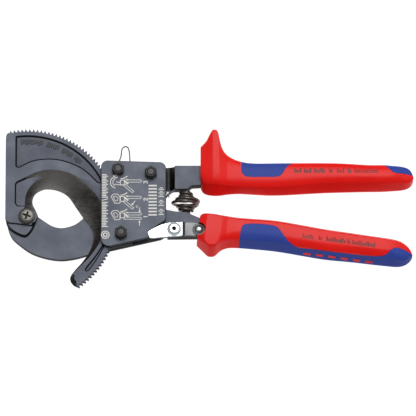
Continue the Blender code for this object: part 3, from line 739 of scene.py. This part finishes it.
def lock_nuts():
    flat = 7.0  # across flats
    corner = flat / math.sqrt(3)
    crown = flat / 2 - 0.2
    for number, (centre, turn) in enumerate(zip(BOLTS, (26.0, 33.0, 28.0)), 1):
        low, high = height(f"lock_nut_{number}")
        hexagon = circle(centre, corner, 6, turn)
        # The hex sides take darker blackened steel than the top: painted shade on the sides.
        bm = levels(hexagon, ((low, -0.35), (low + 0.3, 0), (high - 0.9, 0)), caps=SIDE)
        nut = solid(f"nut_body_{number}", bm, (NUT_TOP, BLACKED_AND_SHADE))
        cone = turned(((corner + 0.05, low - 1.0), (corner + 0.05, high - 1.25), (crown, high - 0.85),
                       (crown, high + 1.0)), centre)
        carve(nut, cone, (NUT_TOP, BLACKED_AND_SHADE), 'INTERSECT')
        bore(nut, centre, 2.2, (low - 1.0, high + 2.0))
        settle(nut, "housing", "blacked_steel", f"lock_nut_{number}")

        collar = turned(((3.1, high - 1.0), (3.1, high - 0.35), (2.85, high), (2.55, high),
                         (2.3, high - 0.35), (2.15, high - 0.4)), centre)
        collar = solid(f"nut_collar_{number}", collar, (NUT_TOP, BLACKED_AND_SHADE))
        bore(collar, centre, 2.1, (low, high + 2.0))
        settle(collar, "housing", "blacked_steel")

        bottom, top = height(f"plate_bolt_{number}")
        head = 3.9
        shape = turned(((head - 0.9, bottom), (head - 0.3, bottom + 0.3), (head, bottom + 0.9),
                        (head, bottom + 2.7), (2.0, bottom + 2.7), (2.0, high - 0.15), (1.75, high + 0.05),
                        (0.5, high + 0.12)), centre, [SIDE] * 5 + [FACE] * 2)
        bolt = solid(f"bolt_shaft_{number}", shape, (BOLT_END, BLACKED_AND_SHADE))
        socket = levels(circle(centre, 1.75, 6), ((bottom - 1.0, 0), (bottom + 1.5, 0)))
        carve(bolt, socket, RECESS_SHADE)
        settle(bolt, "housing", "blacked_steel", f"plate_bolt_{number}")


def pivot_screw():
    low, high = height("pivot_screw")
    seat = FRONT_PLATE_Z[0]
    profile = ((2.5, low), (2.5, seat), (4.8, seat), (5.0, seat + 0.2), (5.0, high - 1.1),
               (4.8, high - 0.6), (4.1, high - 0.15), (2.4, high))
    screw = solid("screw_head", turned(profile, BLADE_PIVOT), WARM)
    cross = []
    for turn in (72.0, 162.0, 252.0, 342.0):
        cross += in_plan((*BLADE_PIVOT, turn), ((0.62, -0.62), (2.5, -0.55), (2.75, 0.0), (2.5, 0.55)))
    steps = ((high - 1.3, -0.25), (high - 0.1, 0), (high + 1.0, 0.1))
    carve(screw, levels(cross, steps), RECESS_SHADE)
    settle(screw, "housing", "warm_steel", "pivot_screw")

    low, high = height("pivot_nut")
    hexagon = circle(BLADE_PIVOT, 5.6, 6)
    # Its sides are drawn darker than its faces: painted shade.
    nut = solid("screw_nut", plate(hexagon, (low, high), 0.4), (NUT_TOP, BLACKED_AND_SHADE, NUT_TOP))
    bore(nut, BLADE_PIVOT, 2.7)
    settle(nut, "housing", "blacked_steel", "pivot_nut")


# ---- shanks

def fixed_shank():
    raised = rounded(((-21.4, 11.7, 0.8), (-13.5, 11.7, 1.2), (-10.9, 13.9, 1.2), (-5.1, 14.3, 0),
                      (-5.1, 26.7, 0), (-21.4, 26.7, 0.8)), 5)
    made = solid("shank_upper", plate(raised, SHANK_Z, 0.3), STEEL_SET)
    tongue = [(-49.9, 12.6), (-28.0, 12.6), (-24.0, 11.2), (-21.0, 11.9), (-21.0, 26.3), (-49.9, 26.3)]
    # The tongue and its fillet take blackened steel: painted shade, as they lie low beside the thicker
    # shank.
    carve(made, plate(tongue, FIXED_Z, 0.2), BLACKED_AND_SHADE, 'UNION')
    # The fillet between the tongue and the thicker shank: (x, z)
    section = [(-21.4 - 4.2 * (1 - math.sin(t)), FIXED_Z[1] - 0.1 + 3.6 * (1 - math.cos(t)))
               for t in np.linspace(0.0, math.pi / 2, 9)]
    section = [(-20.6, FIXED_Z[0] + 0.3), *section, (-20.6, SHANK_Z[1] - 0.35)]
    fillet = stack([[(x, y, z) for x, z in section] for y in (11.9, 26.4)])
    carve(made, fillet, BLACKED_AND_SHADE, 'UNION')
    for centre in BOLTS[:2]:
        bore(made, centre, BOLT_HOLE)
    settle(made, "housing", "gunmetal_steel", "fixed_handle_shank")

    legs = bmesh.new()
    tube(smooth([(-27.6, 12.6, 8.0), (-26.0, 10.4, 8.0), (-24.6, 7.9, 8.0)], 4), 0.28, bm=legs)
    hook = [(-27.2, 7.2, 10.4), (-25.8, 8.4, 10.6), (-24.2, 9.9, 10.8), (-22.6, 10.9, 11.0),
            (-20.9, 11.1, 11.0)]
    tube(smooth(hook, 4), 0.66, bm=legs)
    piece("spring_legs", legs, WIRE, "housing", "zinc_plate")


def moving_shank():
    outer_end = (
        (-6.6, -18.2, 0), (-4.8, -6.9, 0), (-10.8, -4.4, 3.0), (-13.6, -2.7, 3.0), (-20.7, -2.4, 6.0))
    outline = rounded((
        (-33.0, -18.4, 0), *outer_end, (-27.4, -1.0, 2.0), (-27.6, 6.0, 0), (-27.6, 12.0, 0),
        (-29.0, 18.0, 0), (-30.0, 25.0, 2.0), (-40.0, 27.0, 2.0), (-42.6, 20.0, 2.0),
        (-42.6, 14.5, 1.0), (-41.0, 5.0, 0), (-37.5, -3.0, 0), (-32.8, -10.0, 0)), 5)
    made = solid("shank_lower", plate(outline, MOVING_Z, 0.2), STEEL_SET)
    thick = rounded(((-25.8, -18.4, 0.5), *outer_end, (-25.8, -2.0, 0.8)), 5)
    carve(made, plate(thick, (SHANK_Z[0], SHANK_Z[1] - 0.01), 0.25), STEEL_SET, 'UNION')
    bore(made, HANDLE_PIVOT, BUSH_HOLE)
    bore(made, LEVER_PIVOT, RIVET_HOLE)
    settle(made, "moving_handle", "gunmetal_steel", "moving_handle_shank")


# ---- lock lever

LEVER_TOP = (
    (-37.6, -16.3), (-36.3, -15.5), (-34.3, -14.3), (-28.9, -11.8), (-23.4, -10.5), (-17.3, -10.3),
    (-15.2, -9.7), (-7.6, -9.9), (-4.5, -11.0), (-3.0, -12.9),
)
LEVER_BOTTOM = (
    (-37.6, -17.0), (-36.3, -20.2), (-31.0, -20.1), (-23.4, -19.4), (-17.3, -19.0), (-15.2, -18.3),
    (-7.6, -18.3), (-4.5, -17.4), (-3.0, -15.9),
)
LEVER_FRONT_Z = 17.3
LEVER_REAR_Z = 14.2
LEVER_SHEET = 1.5
NOTCH_FLOOR = 13.9  # the lower grip is cut away round the rivet above this
JOGGLE = (-16.6, -14.9)
EYELET = middle("lever_eyelet")[:2]


def lock_lever():
    """A pressed sheet: its front runs over the plate, a joggle drops it to the shank."""
    rings = []
    top, bottom = smooth(LEVER_TOP, 4), smooth(LEVER_BOTTOM, 4)
    edge = 0.28
    # Closer together at the sheet's ends and at the joggle
    xs = [-37.5, -37.2, -36.7, -36.2, -35.5, -34.3, *np.arange(-33.0, -17.5, 1.0), -16.9, -16.6, -16.3,
          -16.0, -15.7, -15.4, -15.1, -14.9, -14.5, *np.arange(-13.8, -4.0, 0.9), -3.9, -3.5, -3.15, -3.0]
    for x in xs:
        (high_y,), (low_y,) = along(x, top), along(x, bottom)
        t = float(np.clip((x - JOGGLE[0]) / (JOGGLE[1] - JOGGLE[0]), 0, 1))
        t = t * t * (3 - 2 * t)
        low = LEVER_FRONT_Z + (LEVER_REAR_Z - LEVER_FRONT_Z) * t
        high = low + LEVER_SHEET
        rings.append([(x, y, z) for y, z in (
            (low_y + edge, low), (high_y - edge, low), (high_y, low + edge), (high_y, high - edge),
            (high_y - edge, high), (low_y + edge, high), (low_y, high - edge), (low_y, low + edge))])
    bm = stack(rings, caps=SIDE)
    # The front sheet is bright zinc; the joggle and the rear sheet take darker zinc, which is painted shade
    # where the sheet bends and steps down.
    for face in bm.faces:
        x = face.calc_center_median().x
        face.material_index = 2 if x > JOGGLE[1] else 1 if x > JOGGLE[0] else 0
    lever = solid("lever_sheet", bm, (ZINC, ZINC_JOGGLE_SHADE, ZINC_DULL_AND_SHADE))
    bore(lever, LEVER_PIVOT, RIVET_HOLE)
    bore(lever, EYELET, BOSS_HOLE)
    settle(lever, "lock_lever", "zinc_plate", "lock_lever")

    low, high = height("lever_eyelet")
    sheet = LEVER_FRONT_Z + LEVER_SHEET
    rise = high - sheet
    profile = ((4.35, sheet - 0.1), (4.25, sheet + 0.15 * rise), (3.9, sheet + 0.5 * rise),
               (3.4, sheet + 0.8 * rise), (2.8, high - 0.06 * rise), (2.2, high), (1.2, high))
    boss = turned(profile, EYELET, [SIDE] * 3 + [FACE] * 3)
    boss = solid("lever_boss", boss, (ZINC, ZINC_SLOPE))
    bore(boss, EYELET, BOSS_HOLE)
    settle(boss, "lock_lever", "zinc_plate", "lever_eyelet")
    # A near-black disc down in the boss's hole: painted shade, where there is no part of its own.
    hole_shade = turned(((1.38, LEVER_FRONT_Z - 0.1), (1.38, LEVER_FRONT_Z + 0.5)), EYELET, count=32)
    piece("boss_hole_painted_shade", hole_shade, RECESS_SHADE, "lock_lever", "zinc_plate")

    low, high = height("lever_rivet")
    seat = LEVER_REAR_Z + LEVER_SHEET + 0.02
    profile = [(3.0, low), (3.0, 5.85), (1.8, 5.85), (1.8, seat), (3.8, seat), (3.85, seat + 0.35),
               (3.55, seat + 0.75), (3.0, seat + 0.85), (2.65, seat + 0.7)]
    profile += [(2.5 * math.cos(t), seat + 0.75 + 0.95 * math.sin(t)) for t in np.linspace(0.15, 1.45, 8)]
    bands = [SIDE] * 8 + [FACE] * (len(profile) - 9)
    rivet = solid("rivet_head", turned(profile, LEVER_PIVOT, bands), (RIVET, ZINC_DULL_AND_SHADE))
    settle(rivet, "moving_handle", "zinc_plate", "lever_rivet")


# ---- springs

def springs():
    x, y, z = middle("return_spring")
    low, high = span("return_spring")
    wire = 0.96
    wide = (high[0] - low[0]) / 2 - wire + 0.6
    turns = 5.6
    swell = ((0.0, 3.9), (0.12, 4.0), (0.27, 5.2), (0.41, wide), (0.52, wide), (0.64, 5.4),
             (0.76, 3.9), (1.0, 3.3))  # (share of the length, radius)
    start, end = low[1] + wire, high[1] - wire
    path = []
    steps = int(turns * 40)
    for k in range(steps + 1):
        t = k / steps
        radius, = along(t, swell)
        turn = 2 * math.pi * turns * t
        path.append((x + radius * math.cos(turn), start + (end - start) * t, z + radius * math.sin(turn)))
    coil = solid("spring_coil", tube(path, wire, 14), SPRING)
    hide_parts("return_spring")
    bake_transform(coil)

    loop = [(-56.4, 27.6), (-55.1, 30.6), (-54.2, 33.2), (-53.9, 36.2), (-53.3, 38.2), (-51.6, 39.3),
            (-50.0, 38.5), (-49.3, 36.6), (-49.0, 34.0), (-48.8, 31.0), (-48.7, 27.5)]
    loop_z = middle("hairpin_spring")[2]
    hairpin = tube([(a, b, loop_z) for a, b in smooth(loop, 6)], 0.42)
    piece("hairpin_wire", hairpin, WIRE, "housing", "zinc_plate", "hairpin_spring")


# ---- grips

PAST_END = 136.0  # beyond a grip's end
PAST_SIDE = 40.0  # beyond its side
UPPER_GRIP = (-5.5, 19.5, 0.0)  # where it starts in plan, and its angle in degrees
LOWER_GRIP = (-6.5, -12.5, -7.5)
UPPER_OUTER = (
    (0.0, 19.0), (3.4, 22.5), (5.2, 26.0), (7.2, 29.3), (8.3, 29.7), (10.1, 29.3), (11.1, 27.5),
    (12.0, 22.5), (13.5, 18.0), (15.6, 15.0), (19.3, 12.5), (24.8, 10.6), (31.5, 9.6), (48.7, 9.6),
    (67.1, 9.8), (85.5, 9.6), (103.5, 8.6), (113.0, 8.5), (117.5, 8.1), (121.0, 7.8), (124.2, 7.3),
    (126.8, 6.2), (128.6, 4.65), (129.8, 2.5), (130.3, 0.9), (130.5, 0.0),
)
UPPER_INNER = (
    (0.0, -6.5), (1.5, -9.2), (4.0, -10.5), (8.0, -11.1), (12.0, -11.0), (17.0, -10.3), (23.3, -9.9),
    (31.0, -10.3), (42.0, -10.9), (52.0, -10.7), (64.0, -10.0), (75.0, -9.4), (85.5, -9.05),
    (100.0, -8.7), (112.0, -8.5), (118.0, -8.1), (121.0, -7.9), (124.2, -7.5), (126.8, -6.6),
    (128.6, -5.4), (129.8, -3.7), (130.3, -2.2), (130.5, -1.3),
)
LOWER_OUTER = (
    (0.0, -10.8), (0.9, -11.5), (4.2, -14.0), (6.9, -16.1), (7.8, -16.6), (11.2, -16.2), (12.2, -15.4),
    (14.2, -12.9), (16.2, -11.2), (19.3, -9.8), (24.8, -9.0), (33.9, -8.5), (48.7, -8.1), (63.6, -8.7),
    (78.5, -9.3), (94.5, -8.8), (110.0, -8.6), (118.0, -8.4), (122.2, -8.2), (125.3, -7.6), (128.7, -5.8),
    (130.9, -3.1), (131.6, -1.4),
)
LOWER_INNER = (
    (0.0, 8.2), (1.5, 9.5), (6.7, 10.2), (15.0, 10.0), (22.2, 9.95), (46.2, 11.1), (61.1, 10.5),
    (76.0, 9.7), (95.0, 9.3), (110.7, 9.0), (118.5, 8.8), (122.8, 8.2), (125.7, 7.1), (128.5, 5.2),
    (130.8, 2.5), (131.6, 0.8),
)
UPPER_BLUE = (
    (24.9, 4.2), (25.1, 2.4), (25.9, 0.6), (27.4, -0.6), (29.6, -1.2), (38.0, -1.3), (46.2, -1.2),
    (48.6, -0.6), (50.2, 1.0), (52.6, 4.8), (55.4, 7.2), (58.0, 8.8), (61.0, 9.35), (67.0, 9.45),
    (85.5, 9.25), (98.0, 8.6), (106.0, 8.2), (110.5, 7.2), (113.6, 5.6), (115.8, 3.7), (117.6, 2.0),
    (119.6, 1.3), (123.2, 1.1), (126.6, 0.85), (129.3, 0.4), (PAST_END, -0.8),
)
LOWER_BLUE = (
    (25.8, -1.0), (26.6, 3.2), (28.6, 4.6), (46.2, 5.6), (49.8, 3.2), (55.3, -2.5), (61.0, -5.2),
    (69.4, -5.4), (81.7, -5.4), (110.7, -4.6), (115.3, -3.3), (118.2, 0.0), (120.7, 1.8), (124.8, 1.7),
    (129.0, 0.6), (PAST_END, -2.0),
)
GROOVE = 0.10  # between the two grip materials

# Half thickness along a grip
UPPER_HALF = (
    (0.0, 8.2), (7.6, 10.35), (11.4, 10.35), (16.4, 8.95), (21.0, 8.65), (27.0, 8.75), (34.0, 9.0),
    (112.0, 9.0), (116.0, 8.9), (119.0, 8.6), (122.0, 8.0), (125.0, 7.1), (127.5, 6.4), (129.3, 5.4),
    (130.5, 4.4),
)
LOWER_HALF = (
    (0.0, 8.7), (4.4, 10.05), (13.7, 10.05), (17.2, 9.15), (24.0, 8.95), (112.0, 9.0), (117.0, 8.9),
    (120.5, 8.5), (123.5, 7.9), (126.5, 6.9), (129.0, 5.7), (130.8, 4.5), (131.6, 3.6),
)
# Along a grip: width of the inner side's facet, height of its wall and width of its shoulder,
# then the same for the outer side. Heights are in half thicknesses
UPPER_FACETS = (
    (0.0, 4.8, 0.12, 2.6, 0.9, 0.6, 1.2), (9.3, 5.3, 0.12, 3.0, 1.0, 0.65, 1.5),
    (18.6, 3.4, 0.12, 3.4, 1.6, 0.3, 2.4), (28.0, 2.6, 0.12, 3.6, 1.9, 0.12, 2.4),
    (37.4, 3.1, 0.12, 3.6, 1.9, 0.12, 2.4), (51.4, 3.6, 0.12, 3.4, 1.9, 0.12, 2.6),
    (64.0, 3.9, 0.12, 3.2, 2.0, 0.12, 3.0), (83.8, 4.3, 0.12, 2.8, 2.0, 0.12, 3.0),
    (107.0, 3.8, 0.12, 2.8, 2.2, 0.12, 3.0), (122.0, 3.4, 0.12, 2.6, 2.0, 0.12, 2.6),
    (130.0, 1.2, 0.12, 0.6, 0.8, 0.12, 0.8),
)
LOWER_FACETS = (
    (0.0, 1.4, 0.3, 1.0, 2.6, 0.12, 1.8), (5.0, 1.6, 0.3, 1.0, 3.8, 0.12, 1.6),
    (12.5, 1.8, 0.3, 1.0, 4.2, 0.12, 1.6), (17.0, 1.9, 0.3, 1.1, 3.6, 0.12, 2.6),
    (24.8, 2.0, 0.25, 1.2, 3.8, 0.12, 3.4), (119.0, 2.0, 0.25, 1.2, 4.2, 0.12, 3.0),
    (131.6, 1.0, 0.12, 0.6, 1.5, 0.12, 0.8),
)
CREASE = 0.80  # height of the crease between facet and shoulder

# Dark marks: where each word starts along the grip, and half its number of bars
UPPER_WORDS = ((57.4, 2), (63.4, 2), (69.6, 3), (78.8, 1), (83.6, 2), (90.2, 1), (94.4, 6))
LOWER_WORDS = ((63.7, 3), (73.6, 1), (78.4, 5), (91.2, 1), (94.4, 6))
MARK_STEP = 1.2
MARK_WIDE = 0.66
MARK_TALL = 3.0


def grip_section(low, high, half, low_side, high_side):
    """One cross-section: a parting edge, sloping facets, round shoulders and a crowned face."""
    width = high - low
    mid = (low + high) / 2

    def quarter(edge, inwards, facet, wall, shoulder, sign):
        facet = min(facet, 0.30 * width)
        shoulder = min(shoulder, 0.17 * width)
        flat_left = width / 2 - facet - shoulder
        steps = ((min(0.3, 0.05 * width), wall, 0.04), (facet, CREASE, 0.03),
                 (facet + 0.36 * shoulder, CREASE + 0.09, 0), (facet + shoulder, 0.965, 0),
                 (facet + shoulder + 0.45 * flat_left, 0.992, 0))
        return [(edge + inwards * step, sign * half * level, radius * width)
                for step, level, radius in steps]

    corners = [(low, 0.0, 0.03 * width)]
    corners += quarter(low, 1, *low_side, -1) + [(mid, -half, 0)]
    corners += quarter(high, -1, *high_side, -1)[::-1] + [(high, 0.0, 0.03 * width)]
    corners += quarter(high, -1, *high_side, 1) + [(mid, half, 0)]
    corners += quarter(low, 1, *low_side, 1)[::-1]
    return rounded(corners, 4)


def grip_stations(end):
    """Closer together where the shape turns quickly."""
    return [0.0, 0.25, *np.arange(0.55, 30.0, 0.55), *np.arange(30.0, 118.0, 1.5),
            *np.arange(118.0, end - 0.2, 0.45), end]


def section_maker(outer, inner, halves, facets):
    """A function that gives a grip's cross-section at a station, and where the grip ends."""
    flipped = outer[0][1] < inner[0][1]
    low_side, high_side = (outer, inner) if flipped else (inner, outer)
    low_curve, high_curve = smooth(low_side, 8), smooth(high_side, 8)

    def section_at(u):
        low, high, half = (along(u, table)[0] for table in (low_curve, high_curve, halves))
        values = along(u, facets)
        sides = (values[:3], values[3:])
        return grip_section(low, high, half, *(sides[::-1] if flipped else sides))

    return section_at, low_side[-1][0]


def grip_body(grip, section_at, end):
    rings = []
    for u in grip_stations(end):
        section = section_at(u)
        if u == 0.0:
            mid = sum(w for w, _ in section) / len(section)
            section = [(mid + (w - mid) * 0.985, h * 0.97) for w, h in section]
        plan = in_plan(grip, [(u, w) for w, _ in section])
        rings.append([(x, y, MID_Z + h) for (x, y), (_, h) in zip(plan, section)])
    return stack(rings)


def laid(bm, grip, section_at, corners, thick):
    """A thin patch that follows the face of a grip, from corners (along, across)."""
    rings = [[], []]
    for u, w in corners:
        face = sorted(point for point in section_at(u) if point[1] > 0.0)
        surface_z = MID_Z + along(w, face)[0]
        (x, y), = in_plan(grip, [(u, w)])
        rings[0].append((x, y, surface_z - 0.1))
        rings[1].append((x, y, surface_z + thick))
    stack(rings, bm=bm)


def grip_marks(name, grip, section_at, words, across, body):
    """Rows of short dark bars on the grip's face, where small print stood."""
    bm = bmesh.new()
    for start, count in words:
        for k in range(2 * count):
            u0 = start + MARK_STEP * k
            u1 = u0 + MARK_WIDE
            half = (MARK_TALL if k % 4 in (0, 3) else 0.65 * MARK_TALL) / 2
            for a, b in ((across, across + half), (across + half, across + 2 * half)):
                laid(bm, grip, section_at, ((u0, a), (u1, a), (u1, b), (u0, b)), 0.035)
    piece(name, bm, GRIP_MARK, body, "grip_red")


def grips():
    makers = {}
    for side, grip, outer, inner, halves, facets, blue, body in (
            ("upper", UPPER_GRIP, UPPER_OUTER, UPPER_INNER, UPPER_HALF, UPPER_FACETS, UPPER_BLUE, "housing"),
            ("lower", LOWER_GRIP, LOWER_OUTER, LOWER_INNER, LOWER_HALF, LOWER_FACETS, LOWER_BLUE,
             "moving_handle")):
        section_at, end = section_maker(outer, inner, halves, facets)
        makers[side] = section_at
        far = PAST_SIDE if side == "upper" else -PAST_SIDE
        zone = in_plan(grip, smooth(blue, 4) + [(PAST_END, far), (blue[0][0], far)])
        if side == "lower":
            zone.reverse()
        through = ((CLEAR[0], 0), (CLEAR[1], 0))
        shell = solid(side + "_red", grip_body(grip, section_at, end), RED)
        if side == "lower":
            notch = levels(circle(LEVER_PIVOT, 4.1, 36, 3.0), ((NOTCH_FLOOR, 0), (CLEAR[1], 0)))
            carve(shell, notch, RED)
        carve(shell, levels(grown(zone, GROOVE), through), RED)
        inlay = solid(side + "_blue", grip_body(grip, section_at, end), BLUE)
        carve(inlay, levels(zone, through), BLUE, 'INTERSECT')
        settle(shell, body, "grip_red", side + "_grip_shell")
        settle(inlay, body, "grip_blue", side + "_grip_inlay")
    grip_marks("upper_grip_marks", UPPER_GRIP, makers["upper"], UPPER_WORDS, 1.2, "housing")
    grip_marks("lower_grip_marks", LOWER_GRIP, makers["lower"], LOWER_WORDS, 0.3, "moving_handle")
    bars = bmesh.new()
    for u in np.arange(65.5, 107.0, 7.6):
        for a in (0.0, 2.2):
            corners = ((u + a, -8.2), (u + a + 2.2, -8.2), (u + a + 2.2, -7.3), (u + a, -7.3))
            laid(bars, LOWER_GRIP, makers["lower"], corners, 0.12)
    piece("lower_grip_bars", bars, RED, "moving_handle", "grip_red")


# ---- CAD nodes that stay

def repaint():
    """Materials of the CAD nodes that are shown as they are."""
    for mat, names in (
            (BRONZE, "handle_bush"), (WARM, "pivot_bush"), (STEEL, "upper_spring_seat lower_spring_seat"),
            (ZINC_DULL_AND_SHADE, "spacer_sleeve pawl_spacer drive_pawl drive_pawl_pin holding_pawl")):
        for name in names.split():
            mesh = frame["nodes"][name].data
            mesh.materials.clear()
            mesh.materials.append(mat)


# ---- stage, light and camera

CAMERA_ELEVATION = 75.0  # degrees
CAMERA_AWAY = 4.0  # metres
FRAME_WIDE = 0.2547  # metres across the picture
LOOK_AT = Vector((-0.0009, 0.0008, 0.010))


def aim(obj, target):
    obj.rotation_euler = (target - obj.location).to_track_quat('-Z', 'Y').to_euler()


def stage():
    scene = bpy.context.scene
    far = 1500.0
    corners = ((-far, -far), (far, -far), (far, far), (-far, far))
    solid("floor", levels(corners, ((-10.0, 0), (-0.1, 0))), FLOOR)

    world = bpy.data.worlds.new("studio")
    world.use_nodes = True
    sky = world.node_tree.nodes["Background"].inputs
    sky["Color"].default_value = (1.0, 1.0, 1.0, 1.0)
    sky["Strength"].default_value = 0.24
    scene.world = world
    for name, place, size, power in (("overhead", (0.06, 0.42, 1.25), 0.85, 12.0),
                                     ("side_fill", (0.9, 0.3, 0.8), 0.6, 1.5)):
        light = bpy.data.lights.new(name, 'AREA')
        light.size = size
        light.energy = power
        lamp = bpy.data.objects.new(name, light)
        lamp.location = place
        scene.collection.objects.link(lamp)
        aim(lamp, LOOK_AT)

    lens = bpy.data.cameras.new("camera")
    lens.lens = lens.sensor_width * CAMERA_AWAY / FRAME_WIDE
    lens.clip_end = 50.0
    camera = bpy.data.objects.new("camera", lens)
    tilt = math.radians(CAMERA_ELEVATION)
    camera.location = LOOK_AT + Vector((0.0, -math.cos(tilt), math.sin(tilt))) * CAMERA_AWAY
    scene.collection.objects.link(camera)
    aim(camera, LOOK_AT)
    scene.camera = camera
    scene.view_settings.view_transform = 'Standard'


stage()
fixed_jaw()
ratchet_blade()
housing_plates()
plate_print()
lock_nuts()
pivot_screw()
fixed_shank()
moving_shank()
lock_lever()
springs()
grips()
repaint()
